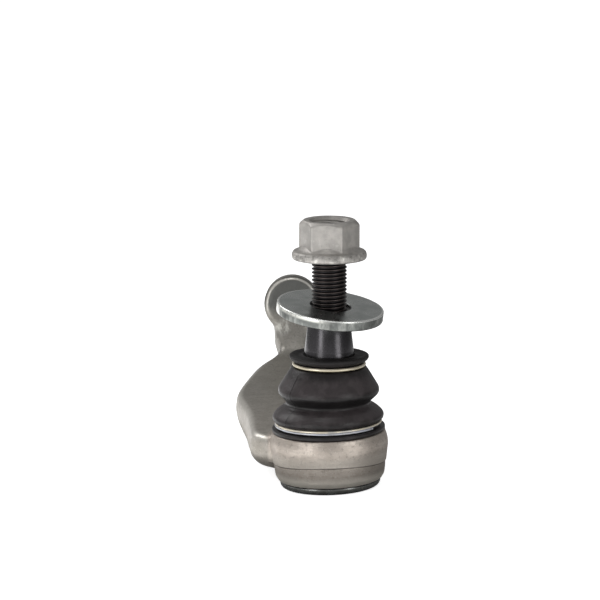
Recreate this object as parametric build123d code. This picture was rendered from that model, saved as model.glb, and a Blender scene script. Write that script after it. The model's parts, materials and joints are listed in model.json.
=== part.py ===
"""Steering rod end with a tapered ball stud, built as an assembly of separate pieces.

Units are millimetres. The origin is the centre of the ball. +Z is the ball housing's own axis, and
the stud rests a little off it. +Y runs along the arm, from the ball housing to the threaded boss
that takes the tie rod.
"""

import os
from math import cos, radians, sin, sqrt, tan

from build123d import *

# ---------------------------------------------------------------- driving dimensions

BALL_R = 13.5                 # ball of the stud
BALL_FLAT_Z = -12.4           # turned flat under the ball
MAX_SWING = 22.0              # degrees, each way from upright
RUNNING_FIT = 0.04            # radial clearance of the ball in its shell

UNDERSIDE_Z = -17.4           # lowest plane of the housing
SHOULDER_Z = 4.9              # top of the barrel, under the boot
COLLAR_Z = 10.8               # top of the collar inside the boot
BARREL_R = 23.45              # widest radius of the housing
COLLAR_R = 19.0
PARTING_Z = -7.3              # die parting line round the housing

SEAT_OUTER_R = 16.0
SEAT_BOTTOM_Z = -10.6
SEAT_RIM_ANGLE = 58.0         # degrees from the axis to the edge of the shell
SEAT_SLOTS = 6
SEAT_SLOT_WIDTH = 1.4

COVER_R = 18.5
COVER_TOP_Z = -12.8
COVER_THICKNESS = 2.0

STUD_LEAN = 2.0               # degrees that the stud leans towards +X in its socket, as it rests
NECK_R = 7.5
SEAL_R = 9.9                  # cylinder that carries the boot's upper lip
TAPER_BASE_Z, TAPER_BASE_R = 38.0, 9.65
TAPER_TOP_Z, TAPER_TOP_R = 49.7, 8.25
THREAD_R = 6.93               # M14 x 1.5 outside, drawn plain
STUD_TOP_Z = 80.5

UPPER_RING_Z, UPPER_RING_R, UPPER_WIRE_R = 31.7, 13.95, 0.66
LOWER_RING_Z, LOWER_RING_R, LOWER_WIRE_R = 8.0, 20.86, 0.46
LOWER_RING_PITCH = 0.88
BOOT_SPLIT_Z = 16.4           # waist between the folds: above it the boot leans with the stud

WASHER_R, WASHER_HOLE_R, WASHER_THICKNESS = 21.15, 8.0, 4.1
WASHER_MID_Z = 53.07
WASHER_SHIFT = 0.35           # its hole is loose on the thread, and it has slid towards +X
WASHER_LEAN = (6.0, 6.0)      # degrees about X and about Y, as it lies on the shoulder

NUT_BOTTOM_Z, NUT_TOP_Z = 73.8, 89.3
NUT_ACROSS_FLATS = 21.0
NUT_FLANGE_R = 14.75
NUT_FLANGE_RIM = 3.5          # height of the flange's round edge
NUT_BORE_R = 7.0
NUT_TURN = -6.7               # degrees that the hexagon is turned about the stud

BOSS_R = 12.1
BOSS_LENGTH = 46.0
BOSS_FACE = (-12.9, 126.0, 31.9)   # centre of the boss's near face
BOSS_DIP = 9.4                # degrees that the boss's axis falls away from level
ROD_BORE_R = 7.25             # M16 x 1.5 tapping bore, drawn plain
ROD_BORE_DEPTH = 36.0


# ---------------------------------------------------------------- helpers


def turned(*parts):
    """Revolve a closed outline of edges, drawn as (radius, height), round the Z axis."""
    outline = [edge for part in parts for edge in part.edges()]
    return revolve(Plane.XZ * make_face(outline), Axis.Z)


def outline_of(*points):
    """Closed straight-sided outline through (radius, height) points."""
    return Polyline(*points, close=True)


def leaned(shape):
    """Turn a piece of the stud's group about the ball's centre, to where it rests."""
    return Rot(0, STUD_LEAN, 0) * shape


# ---------------------------------------------------------------- ball stud


def ball_stud():
    """Ball, waisted neck, sealing cylinder, taper and plain thread shank."""
    flat_r = sqrt(BALL_R**2 - BALL_FLAT_Z**2)
    neck_start_z = sqrt(BALL_R**2 - NECK_R**2)
    neck_end_z = 22.0
    seal_start_z = 29.0
    tip = 1.0
    ball = ThreePointArc((flat_r, BALL_FLAT_Z), (BALL_R, 0), (NECK_R, neck_start_z))
    waist = Line((NECK_R, neck_start_z), (NECK_R, neck_end_z))
    flare = TangentArc((NECK_R, neck_end_z), (SEAL_R, seal_start_z), tangent=(0, 1))
    seal = Line((SEAL_R, seal_start_z), (SEAL_R, TAPER_BASE_Z - 1.0))
    rest = Polyline(
        (SEAL_R, TAPER_BASE_Z - 1.0),
        (TAPER_BASE_R, TAPER_BASE_Z),
        (TAPER_TOP_R, TAPER_TOP_Z),
        (THREAD_R, TAPER_TOP_Z),
        (THREAD_R, STUD_TOP_Z - tip),
        (THREAD_R - tip, STUD_TOP_Z),
        (0, STUD_TOP_Z),
        (0, BALL_FLAT_Z),
        (flat_r, BALL_FLAT_Z),
    )
    return leaned(turned(ball, waist, flare, seal, rest))


# ---------------------------------------------------------------- bearing inside the housing


def ball_seat():
    """Plastic shell: spherical inside, slotted from below so that it snaps over the ball."""
    inner_r = BALL_R + RUNNING_FIT
    rim = radians(SEAT_RIM_ANGLE)
    mouth_r = sqrt(inner_r**2 - SEAT_BOTTOM_Z**2)
    inside = ThreePointArc(
        (mouth_r, SEAT_BOTTOM_Z), (inner_r, 0), (inner_r * sin(rim), inner_r * cos(rim))
    )
    edge = Line(
        (inner_r * sin(rim), inner_r * cos(rim)), (SEAT_OUTER_R * sin(rim), SEAT_OUTER_R * cos(rim))
    )
    half = rim + (radians(90) - rim) / 2
    dome = ThreePointArc(
        (SEAT_OUTER_R * sin(rim), SEAT_OUTER_R * cos(rim)),
        (SEAT_OUTER_R * sin(half), SEAT_OUTER_R * cos(half)),
        (SEAT_OUTER_R, 0),
    )
    skirt = Polyline((SEAT_OUTER_R, 0), (SEAT_OUTER_R, SEAT_BOTTOM_Z), (mouth_r, SEAT_BOTTOM_Z))
    shell = turned(inside, edge, dome, skirt)
    slot_height = 9.0
    slot = Pos(SEAT_OUTER_R - 3, 0, SEAT_BOTTOM_Z + slot_height / 2 - 1) * Box(
        12, SEAT_SLOT_WIDTH, slot_height
    )
    for turn in range(SEAT_SLOTS):
        shell -= Rot(0, 0, 360 / SEAT_SLOTS * turn) * slot
    return shell


def preload_spring():
    """Disc spring between the closure cover's rim and the shell."""
    outer_r, inner_r, sheet = 15.6, 9.6, 1.0
    return turned(
        outline_of(
            (outer_r, COVER_TOP_Z),
            (outer_r, COVER_TOP_Z + sheet),
            (inner_r, SEAT_BOTTOM_Z),
            (inner_r, SEAT_BOTTOM_Z - sheet),
        )
    )


def closure_cover():
    """Pressed steel plate, dished downwards inside its flat rim."""
    rim_inner_r, dish_r, dish_depth = 15.2, 12.6, 1.5
    low = COVER_TOP_Z - COVER_THICKNESS
    cover = turned(
        outline_of(
            (0, COVER_TOP_Z - dish_depth),
            (dish_r, COVER_TOP_Z - dish_depth),
            (rim_inner_r - 0.6, COVER_TOP_Z),
            (COVER_R, COVER_TOP_Z),
            (COVER_R, low),
            (rim_inner_r, low),
            (dish_r + 0.6, low - dish_depth),
            (0, low - dish_depth),
        )
    )
    bends = cover.edges().filter_by(GeomType.CIRCLE)
    bends = [e for e in bends if dish_r - 0.1 < e.radius < rim_inner_r + 0.1]
    return fillet(bends, 0.8)


# ---------------------------------------------------------------- forged housing


def barrel_profile():
    """Ball housing as a solid of revolution, with its bores still to be cut."""
    lip_top_z = UNDERSIDE_Z + 2.9
    lip_r = 19.9
    lip_bottom_r = 17.9
    lower = Spline((20.7, lip_top_z), (21.6, UNDERSIDE_Z + 5.0), (22.25, PARTING_Z))
    step = Line((22.25, PARTING_Z), (22.55, PARTING_Z))
    upper = Spline(
        (22.55, PARTING_Z), (23.1, -3.6), (BARREL_R, -0.8), (23.3, 1.6), (22.6, SHOULDER_Z - 0.7)
    )
    shoulder = ThreePointArc(
        (22.6, SHOULDER_Z - 0.7), (22.35, SHOULDER_Z - 0.2), (21.7, SHOULDER_Z)
    )
    groove_low, groove_high, groove_depth = 6.7, 9.3, 0.8
    collar = Polyline(
        (21.7, SHOULDER_Z),
        (COLLAR_R, SHOULDER_Z),
        (COLLAR_R, groove_low),
        (COLLAR_R - groove_depth, groove_low + 0.5),
        (COLLAR_R - groove_depth, groove_high - 0.5),
        (COLLAR_R, groove_high),
        (COLLAR_R - 0.6, COLLAR_Z),
        (0, COLLAR_Z),
        (0, UNDERSIDE_Z),
        (lip_bottom_r, UNDERSIDE_Z),
    )
    roll = ThreePointArc(
        (lip_bottom_r, UNDERSIDE_Z),
        (lip_r - 0.6, UNDERSIDE_Z + 0.65),
        (lip_r, UNDERSIDE_Z + 2.1),
    )
    lip = Polyline((lip_r, UNDERSIDE_Z + 2.1), (lip_r, lip_top_z), (20.7, lip_top_z))
    return turned(lower, step, upper, shoulder, collar, roll, lip)


def socket_void():
    """Everything cut from the barrel: ball socket, cover's counterbore, rolled lip and flared mouth."""
    rim = radians(SEAT_RIM_ANGLE)
    socket_r = SEAT_OUTER_R
    rim_r, rim_z = socket_r * sin(rim), socket_r * cos(rim)
    half = (rim + radians(90)) / 2
    mouth_r = rim_r + (COLLAR_Z - rim_z) * tan(radians(MAX_SWING + 8))
    cover_low = COVER_TOP_Z - COVER_THICKNESS
    top = Polyline((0, COLLAR_Z), (mouth_r, COLLAR_Z), (rim_r, rim_z))
    dome = ThreePointArc(
        (rim_r, rim_z), (socket_r * sin(half), socket_r * cos(half)), (socket_r, 0)
    )
    bores = Polyline(
        (socket_r, 0),
        (socket_r, COVER_TOP_Z),
        (COVER_R, COVER_TOP_Z),
        (COVER_R, cover_low),
        (16.6, cover_low),
        (17.1, UNDERSIDE_Z),
        (0, UNDERSIDE_Z),
        (0, COLLAR_Z),
    )
    return turned(top, dome, bores)


# Stations along the arm: distance back, left and right edges, height of the parting line, rise above
# it and drop below it, lean, and the radius under the arm.
ARM_STATIONS = (
    (-6.0, -20.0, 19.8, -4.2, 6.2, 5.8, 0, 4.6),
    (0.0, -25.6, 22.0, -3.2, 5.8, 7.2, 0, 6.4),
    (5.0, -29.8, 22.8, -2.8, 5.9, 8.1, 0, 7.2),
    (14.0, -32.0, 22.8, -3.0, 6.3, 8.7, 0, 7.4),
    (30.0, -32.9, 20.0, -3.9, 7.4, 8.4, 0, 6.0),
    (48.0, -34.2, 10.0, -3.9, 7.5, 7.5, 2, 3.6),
    (64.0, -36.5, -1.0, -3.1, 6.9, 6.9, 4, 3.4),
    (78.0, -37.9, -6.8, -2.0, 6.2, 6.2, 6, 3.4),
    (92.0, -36.0, -8.5, -0.5, 5.8, 5.8, 10, 3.4),
    (104.0, -32.2, -7.8, 1.8, 5.9, 5.9, 17, 3.4),
    (114.0, -26.9, -6.0, 4.7, 6.1, 6.1, 27, 3.4),
    (122.0, -20.8, -5.2, 8.0, 6.5, 6.5, 39, 3.4),
    (132.5, -20.3, -4.8, 16.1, 10.0, 10.0, 60, 3.4),
    (138.0, -21.4, -3.6, 22.6, 12.0, 12.0, 70, 3.4),
)
ARM_DRAFT = 0.9               # how much each side leans in from the parting line
ARM_CORNER = 3.4              # radius of the upper corners


def arm_section(back, left, right, parting, rise, drop, lean, under):
    """Drafted, round-cornered section of the forging, square to the arm's run."""
    side = (right - left) / 2
    sketch = make_face(
        Polyline(
            (-side + ARM_DRAFT, -drop),
            (side - ARM_DRAFT, -drop),
            (side, 0),
            (side - ARM_DRAFT, rise),
            (-side + ARM_DRAFT, rise),
            (-side, 0),
            close=True,
        )
    )
    sketch = fillet([v for v in sketch.vertices() if v.Y > rise / 2], ARM_CORNER)
    sketch = fillet([v for v in sketch.vertices() if v.Y < -drop * 0.99], under)
    place = Location(((left + right) / 2, back, parting), (90 + lean, 0, 0))
    return place * sketch


def arm():
    return loft([arm_section(*station) for station in ARM_STATIONS])


def boss():
    """Round boss with a rounded near face and a blind tie-rod bore from its far end."""
    place = Location(BOSS_FACE, (-90 - BOSS_DIP, 0, 0))
    body = Cylinder(BOSS_R, BOSS_LENGTH, align=(Align.CENTER, Align.CENTER, Align.MIN))
    near = body.edges().filter_by(GeomType.CIRCLE).sort_by(Axis.Z)[0]
    body = fillet(near, 2.2)
    far = body.edges().filter_by(GeomType.CIRCLE).sort_by(Axis.Z)[-1]
    return place, chamfer(far, 0.8)


def rod_bore():
    """Tapping bore with its drill point and a chamfered mouth, in the boss's own frame."""
    point = ROD_BORE_R * tan(radians(30))
    mouth = 1.0
    start = BOSS_LENGTH - ROD_BORE_DEPTH
    return turned(
        outline_of(
            (0, start - point),
            (ROD_BORE_R, start),
            (ROD_BORE_R, BOSS_LENGTH - mouth),
            (ROD_BORE_R + mouth, BOSS_LENGTH),
            (0, BOSS_LENGTH),
        )
    )


def housing():
    place, boss_body = boss()
    forging = barrel_profile() + arm() + place * boss_body
    return forging - socket_void() - place * rod_bore()


# ---------------------------------------------------------------- boot and its rings


def boot_outline():
    """Half section of the rubber: bead on the collar, two folds, and the lip on the stud's cylinder."""
    outside = Spline(
        (20.3, 9.0),
        (21.3, 9.4),
        (22.05, 10.9),
        (21.2, 12.5),
        (19.0, 14.4),
        (17.2, 15.7),
        (16.85, 16.5),
        (17.3, 17.5),
        (19.2, 19.5),
        (20.0, 21.5),
        (19.3, 23.3),
        (17.4, 26.4),
        (14.9, 30.5),
    )
    upper_lip = Polyline(
        (14.9, 30.5),
        (13.25, 30.9),
        (13.25, 32.5),
        (15.2, 33.6),
        (15.75, 34.6),
        (15.0, 35.6),
        (10.05, 35.6),
        (10.05, 30.4),
        (12.6, 29.6),
    )
    inside = Polyline(
        (12.6, 29.6),
        (16.9, 23.7),
        (17.6, 21.6),
        (15.0, 17.9),
        (14.6, 16.5),
        (15.4, 15.0),
        (19.3, 12.0),
        (19.25, 9.9),
    )
    bead = Polyline(
        (19.25, 9.9),
        (19.25, 9.3),
        (18.45, 8.4),
        (18.45, 7.6),
        (19.25, 6.7),
        (19.25, SHOULDER_Z + 0.2),
        (22.1, SHOULDER_Z + 0.2),
        (22.45, SHOULDER_Z + 0.6),
        (22.45, 6.6),
        (20.3, 7.0),
        (20.3, 9.0),
    )
    return outside, upper_lip, inside, bead


def dust_boot():
    """Rubber bellows, upright below its waist and leaning with the stud above it."""
    boot = turned(*boot_outline())
    upright = Pos(0, 0, BOOT_SPLIT_Z) * Box(60, 60, 60, align=(Align.CENTER, Align.CENTER, Align.MAX))
    return (boot & upright) + leaned(boot - upright)


def upper_clamp_ring():
    return leaned(Pos(0, 0, UPPER_RING_Z) * Torus(UPPER_RING_R, UPPER_WIRE_R))


def lower_clamp_ring():
    """Two touching turns of wire, drawn as one closed ring."""
    turns = [
        Pos(0, 0, LOWER_RING_Z + side * LOWER_RING_PITCH / 2) * Torus(LOWER_RING_R, LOWER_WIRE_R)
        for side in (-1, 1)
    ]
    return turns[0] + turns[1]


# ---------------------------------------------------------------- washer and nut


def washer():
    edge = 0.7
    body = Cylinder(WASHER_R, WASHER_THICKNESS) - Cylinder(WASHER_HOLE_R, WASHER_THICKNESS)
    rims = [e for e in body.edges().filter_by(GeomType.CIRCLE) if e.radius > WASHER_R - 1]
    body = fillet(rims, edge)
    return leaned(Pos(WASHER_SHIFT, 0, WASHER_MID_Z) * Rot(WASHER_LEAN[0], WASHER_LEAN[1], 0) * body)


def flange_nut():
    """Hexagon on a round-edged, coned flange, chamfered on top, with a countersunk bore."""
    height = NUT_TOP_Z - NUT_BOTTOM_Z
    corner_r = NUT_ACROSS_FLATS / sqrt(3)
    rim_r = NUT_FLANGE_R - 1.5
    cone_top_z = 5.4
    rim = ThreePointArc((rim_r, 0), (NUT_FLANGE_R, NUT_FLANGE_RIM / 2), (rim_r, NUT_FLANGE_RIM))
    cone = Polyline(
        (rim_r, NUT_FLANGE_RIM),
        (corner_r, NUT_FLANGE_RIM + 0.4),
        (corner_r - 2.0, cone_top_z),
        (0, cone_top_z),
        (0, 0),
        (rim_r, 0),
    )
    flange = turned(rim, cone)
    hexagon = Rot(0, 0, NUT_TURN) * extrude(RegularPolygon(corner_r, 6), height)
    chamfer_r = NUT_ACROSS_FLATS / 2 - 0.4
    drop = (corner_r - chamfer_r) * tan(radians(38))
    crown = turned(
        outline_of((0, 0), (corner_r, 0), (corner_r, height - drop), (chamfer_r, height), (0, height))
    )
    sink = 1.0
    bore = turned(
        outline_of(
            (0, 0),
            (NUT_BORE_R + sink, 0),
            (NUT_BORE_R, sink),
            (NUT_BORE_R, height - sink),
            (NUT_BORE_R + sink, height),
            (0, height),
        )
    )
    return leaned(Pos(0, 0, NUT_BOTTOM_Z) * (flange + (hexagon & crown) - bore))


# ---------------------------------------------------------------- assembly

NODES = {
    "housing": housing,
    "ball_seat": ball_seat,
    "preload_spring": preload_spring,
    "closure_cover": closure_cover,
    "ball_stud": ball_stud,
    "dust_boot": dust_boot,
    "upper_clamp_ring": upper_clamp_ring,
    "lower_clamp_ring": lower_clamp_ring,
    "washer": washer,
    "flange_nut": flange_nut,
}

os.makedirs("parts", exist_ok=True)
for name, build in NODES.items():
    export_step(build(), f"parts/{name}.step")
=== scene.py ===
"""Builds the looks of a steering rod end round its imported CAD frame.

Sizes in this file are millimetres and become metres where a mesh is made. The origin is the ball's
centre, Z is the housing's own axis, and the stud rests a little off it. Run it as a script.
"""

import json
import math

import bmesh
import bpy
import numpy as np
from mathutils import Matrix, Vector


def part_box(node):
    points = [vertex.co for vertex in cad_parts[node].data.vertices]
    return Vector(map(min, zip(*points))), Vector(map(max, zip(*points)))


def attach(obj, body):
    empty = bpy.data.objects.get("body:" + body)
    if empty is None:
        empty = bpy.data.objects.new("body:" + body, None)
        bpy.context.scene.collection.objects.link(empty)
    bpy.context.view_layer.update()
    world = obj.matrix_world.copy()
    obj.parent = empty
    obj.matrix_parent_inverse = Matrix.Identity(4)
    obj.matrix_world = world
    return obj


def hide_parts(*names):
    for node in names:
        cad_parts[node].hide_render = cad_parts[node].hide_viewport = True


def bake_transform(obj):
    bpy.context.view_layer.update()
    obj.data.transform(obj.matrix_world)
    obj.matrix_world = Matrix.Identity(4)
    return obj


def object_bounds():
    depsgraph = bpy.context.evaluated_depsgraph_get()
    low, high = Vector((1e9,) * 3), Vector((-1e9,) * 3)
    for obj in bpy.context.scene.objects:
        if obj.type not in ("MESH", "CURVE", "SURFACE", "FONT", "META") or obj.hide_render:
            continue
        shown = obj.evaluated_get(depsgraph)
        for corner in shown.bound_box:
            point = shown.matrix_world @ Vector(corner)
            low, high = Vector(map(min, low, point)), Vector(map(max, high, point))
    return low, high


bl_info = {
    "name": "Steering rod end",
    "version": (1, 0, 0),
    "blender": (4, 5, 0),
    "location": "3D View > Sidebar > Rod end",
    "description": "Builds a forged rod end with its ball stud, boot, clamp rings, washer and nut",
    "category": "Add Mesh",
}

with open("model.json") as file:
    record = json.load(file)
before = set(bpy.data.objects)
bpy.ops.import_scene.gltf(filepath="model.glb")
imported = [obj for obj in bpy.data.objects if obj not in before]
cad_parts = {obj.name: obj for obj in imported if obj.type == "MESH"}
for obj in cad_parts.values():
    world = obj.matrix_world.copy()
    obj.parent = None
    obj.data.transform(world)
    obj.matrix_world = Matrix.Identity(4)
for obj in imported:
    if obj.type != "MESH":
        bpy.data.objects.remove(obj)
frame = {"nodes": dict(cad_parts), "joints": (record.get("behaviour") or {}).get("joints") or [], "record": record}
CAD_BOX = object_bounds()
MM = 0.001
STUD_JOINT = next(j for j in frame["joints"] if j["name"] == "stud_spin")
STUD_AXIS = Vector(STUD_JOINT["axis"])
STUD_LEAN = math.atan2(STUD_AXIS.x, STUD_AXIS.z)
LEANED = Matrix.Rotation(STUD_LEAN, 4, "Y")
ROD_THREAD = next(m for m in frame["record"]["mounts"] if m["name"] == "rod_thread")
TAU = 2 * math.pi


# ---------------------------------------------------------------- node trees


def adds_math(operation, reflected=False):
    """A method that adds a Math node to its object's tree; reflected puts the object last."""

    def method(self, *others):
        return self.graph.math(operation, *((*others, self) if reflected else (self, *others)))

    return method


class Value:
    """A node's output. Python's operators on it add Math nodes to the same tree."""

    def __init__(self, graph, socket):
        self.graph = graph
        self.socket = socket

    def math(self, operation, *others):
        return self.graph.math(operation, self, *others)

    __add__ = __radd__ = adds_math("ADD")
    __sub__, __rsub__ = adds_math("SUBTRACT"), adds_math("SUBTRACT", reflected=True)
    __mul__ = __rmul__ = adds_math("MULTIPLY")
    __truediv__, __rtruediv__ = adds_math("DIVIDE"), adds_math("DIVIDE", reflected=True)
    __abs__ = adds_math("ABSOLUTE")
    least, most = adds_math("MINIMUM"), adds_math("MAXIMUM")

    def within(self, low, high):
        """0 at low, 1 at high, smooth between; low may be the larger."""
        settings = {"interpolation_type": "SMOOTHSTEP"}
        inputs = {"Value": self, "From Min": low, "From Max": high}
        return self.graph.add("ShaderNodeMapRange", settings, inputs)

    def between(self, start, full, last, end):
        """0 up to start, 1 from full to last, and 0 again from end."""
        return self.within(start, full) * self.within(end, last)


class Graph:
    """A node tree under construction."""

    def __init__(self, tree):
        self.tree = tree

    def add(self, kind, settings=None, inputs=None, out=0):
        """Adds a node, its settings first and then its sockets' values or links, and gives an output."""
        node = self.tree.nodes.new(kind)
        for name, value in (settings or {}).items():
            setattr(node, name, value)
        for key, value in (inputs or {}).items():
            self.feed(node.inputs[key], value)
        return Value(self, node.outputs[out]) if node.outputs else node

    def math(self, operation, *terms):
        return self.add("ShaderNodeMath", {"operation": operation}, dict(enumerate(terms)))

    def feed(self, socket, value):
        if isinstance(value, Value):
            self.tree.links.new(value.socket, socket)
        else:
            socket.default_value = value

    def blend(self, factor, first, second):
        """Mixes two colours, each of them an output or the numbers for red, green and blue."""
        inputs = {0: factor}
        for key, shade in ((6, first), (7, second)):
            inputs[key] = shade if isinstance(shade, Value) else (*shade[:3], 1.0)
        return self.add("ShaderNodeMix", {"data_type": "RGBA"}, inputs, out=2)

    def layers(self, base, *coats):
        """Lays coats of (mask, colour) over a base colour, the last on top."""
        for mask, shade in coats:
            base = self.blend(mask, base, shade)
        return base

    def vector(self, operation, *terms, out=0):
        settings = {"operation": operation}
        return self.add("ShaderNodeVectorMath", settings, dict(enumerate(terms)), out=out)

    def parts(self, vector):
        """X, Y and Z of a vector."""
        first = self.add("ShaderNodeSeparateXYZ", None, {0: vector})
        return [Value(self, s) for s in first.socket.node.outputs]

    def joined(self, x, y, z):
        return self.add("ShaderNodeCombineXYZ", None, {0: x, 1: y, 2: z})


class Finish(Graph):
    """A surface finish: a material whose patterns are laid out in millimetres on the piece."""

    def __init__(self, name, **sockets):
        self.material = bpy.data.materials.new(name)
        self.material.use_nodes = True
        super().__init__(self.material.node_tree)
        self.tree.nodes.clear()
        self.shader = self.tree.nodes.new("ShaderNodeBsdfPrincipled")
        self.add("ShaderNodeOutputMaterial", None, {0: Value(self, self.shader.outputs[0])})
        for key, value in sockets.items():
            self.set(key.replace("_", " "), value)
        place = self.add("ShaderNodeTexCoord", out="Object")
        scaled = {0: place, "Scale": 1 / MM}
        self.place = self.add("ShaderNodeVectorMath", {"operation": "SCALE"}, scaled)

    def set(self, socket, value):
        self.feed(self.shader.inputs[socket], value)

    def noise(self, size, detail=2.0, roughness=0.5, stretch=(1, 1, 1), shift=0.0):
        """Noise whose blotches are about size millimetres across, from 0 to 1 round 0.5."""
        scale = tuple(s / size for s in stretch)
        spot = self.vector("MULTIPLY", self.place, scale)
        spot = self.vector("ADD", spot, (shift, shift, shift))
        inputs = {"Vector": spot, "Scale": 1.0, "Detail": detail, "Roughness": roughness}
        return self.add("ShaderNodeTexNoise", {"noise_dimensions": "3D"}, inputs)

    def about(self, centre, axis):
        """Distance from an axis through the centre, and height along it, in millimetres."""
        away = self.vector("SUBTRACT", self.place, tuple(centre))
        height = self.vector("DOT_PRODUCT", away, tuple(axis), out="Value")
        total = self.vector("DOT_PRODUCT", away, away, out="Value")
        return (total - height * height).most(0.0).math("SQRT"), height

    def done(self, base, roughness, *bumps):
        """Sets colour, roughness and bumps of (height from 0 to 1, depth), and gives the material."""
        self.set("Base Color", base)
        self.set("Roughness", roughness)
        normal = {}
        for height, depth in bumps:
            inputs = {"Height": height, "Distance": depth * MM, "Strength": 1.0, **normal}
            normal = {"Normal": self.add("ShaderNodeBump", None, inputs)}
        self.set("Normal", normal["Normal"])
        return self.material


# ---------------------------------------------------------------- meshes


MERGE = 2e-7  # metres within which points are one


def piece_of(name, data):
    """A new object in the scene, with a mesh, a lamp or a camera as its data."""
    piece = bpy.data.objects.new(name, data)
    bpy.context.scene.collection.objects.link(piece)
    return piece


def mesh_of(name, points, faces):
    """Closed mesh from points in millimetres, doubles merged and faces turned outwards."""
    mesh = bpy.data.meshes.new(name)
    mesh.from_pydata([tuple(p) for p in np.asarray(points) * MM], [], faces)
    tidy(mesh)
    return mesh


def tidy(mesh):
    """Merges doubles, dissolves empty faces and turns the others outwards."""
    form = bmesh.new()
    form.from_mesh(mesh)
    bmesh.ops.remove_doubles(form, verts=form.verts, dist=MERGE)
    bmesh.ops.dissolve_degenerate(form, edges=form.edges, dist=1e-8)
    bmesh.ops.recalc_face_normals(form, faces=form.faces)
    form.to_mesh(mesh)
    form.free()


def evaluated(piece):
    """The piece's mesh with its modifiers applied. The piece itself is used up."""
    depsgraph = bpy.context.evaluated_depsgraph_get()
    mesh = bpy.data.meshes.new_from_object(piece.evaluated_get(depsgraph))
    piece.modifiers.clear()
    bpy.data.objects.remove(piece)
    return mesh


def combine(name, first, second, operation):
    """Joins or cuts two closed meshes and returns the result."""
    one, two = piece_of(name, first), piece_of(name + "_tool", second)
    join = one.modifiers.new("join", "BOOLEAN")
    join.operation = operation
    join.solver = "MANIFOLD"
    join.object = two
    mesh = evaluated(one)
    bpy.data.objects.remove(two)
    if not mesh.polygons:
        raise RuntimeError(f"{name}: the {operation.lower()} left nothing")
    return mesh


def smooth(mesh, sharp_degrees):
    """Shades the mesh smooth, but for edges sharper than this."""
    mesh.shade_smooth()
    mesh.set_sharp_from_angle(angle=math.radians(sharp_degrees))
    return mesh


def eased(value, low, high):
    """0 below low, 1 above high, smooth between, for numbers and arrays."""
    t = np.clip((value - low) / (high - low), 0, 1)
    return t * t * (3 - 2 * t)


def through(points, steps=6):
    """Smooth run of points through the given ones, with steps between each pair."""
    p = np.array([points[0], *points, points[-1]], float)
    run = []
    for i in range(1, len(p) - 2):
        for t in np.arange(steps) / steps:
            a = 2 * p[i]
            b = p[i + 1] - p[i - 1]
            c = 2 * p[i - 1] - 5 * p[i] + 4 * p[i + 1] - p[i + 2]
            d = 3 * p[i] - p[i - 1] - 3 * p[i + 1] + p[i + 2]
            run.append((a + b * t + c * t**2 + d * t**3) / 2)
    run.append(p[-1])
    return [tuple(x) for x in run]


def arc(centre, radius, start, end, steps=8):
    """Points on an arc of a profile, from start to end degrees."""
    angles = np.radians(np.linspace(start, end, steps + 1))
    return [(centre[0] + radius * math.cos(a), centre[1] + radius * math.sin(a)) for a in angles]


def turned(name, profile, segments, shape=None, loop=True):
    """Turns a profile of (radius, height) round Z. shape(angles, radii, heights) may vary it."""
    profile = np.array(profile, float)
    angles = np.arange(segments) / segments * TAU
    around = np.repeat(angles, len(profile))
    radii, heights = np.tile(profile[:, 0], segments), np.tile(profile[:, 1], segments)
    if shape:
        radii, heights = shape(around, radii, heights)
    points = np.column_stack((radii * np.cos(around), radii * np.sin(around), heights))
    rows = len(profile)
    faces = []
    for i in range(segments):
        here, there = i * rows, (i + 1) % segments * rows
        for j in range(rows if loop else rows - 1):
            k = (j + 1) % rows
            faces.append((here + j, there + j, there + k, here + k))
    return mesh_of(name, points, faces)


# ---------------------------------------------------------------- geometry node trees


class Shape(Graph):
    """A Geometry Nodes tree with named inputs, which ends in a realised mesh with its material."""

    def __init__(self, name, **inputs):
        super().__init__(bpy.data.node_groups.new(name, "GeometryNodeTree"))
        kinds = {float: "NodeSocketFloat", int: "NodeSocketInt"}
        interface = self.tree.interface
        self.identifiers = {}
        for key, value in inputs.items():
            socket = interface.new_socket(key, in_out="INPUT", socket_type=kinds[type(value)])
            socket.default_value = value
            self.identifiers[key] = socket.identifier
        interface.new_socket("Material", in_out="INPUT", socket_type="NodeSocketMaterial")
        interface.new_socket("Geometry", in_out="OUTPUT", socket_type="NodeSocketGeometry")
        self.source = self.tree.nodes.new("NodeGroupInput")

    def input(self, name):
        return Value(self, self.source.outputs[name])

    def close(self, geometry):
        """Ends the tree with this geometry, realised and with the tree's material."""
        real = self.add("GeometryNodeRealizeInstances", None, {0: geometry})
        inputs = {"Geometry": real, "Material": self.input("Material")}
        final = self.add("GeometryNodeSetMaterial", None, inputs)
        self.add("NodeGroupOutput", None, {0: final})

    def make(self, name, **values):
        """A clean mesh from the tree with these inputs."""
        piece = piece_of(name, bpy.data.meshes.new(name))
        modifier = piece.modifiers.new("shape", "NODES")
        modifier.node_group = self.tree
        for key, value in values.items():
            modifier[self.identifiers[key]] = value
        mesh = evaluated(piece)
        tidy(mesh)
        return mesh


# Shares of half a pitch: the flat on the crest and the flank beside it. Share of a pitch: the run-out.
CREST_FLAT, FLANK, RUN_OUT = 0.16, 0.66, 0.7
BLUNT = 20.0  # radius for Tip and Foot that leaves an end without its chamfer


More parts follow.
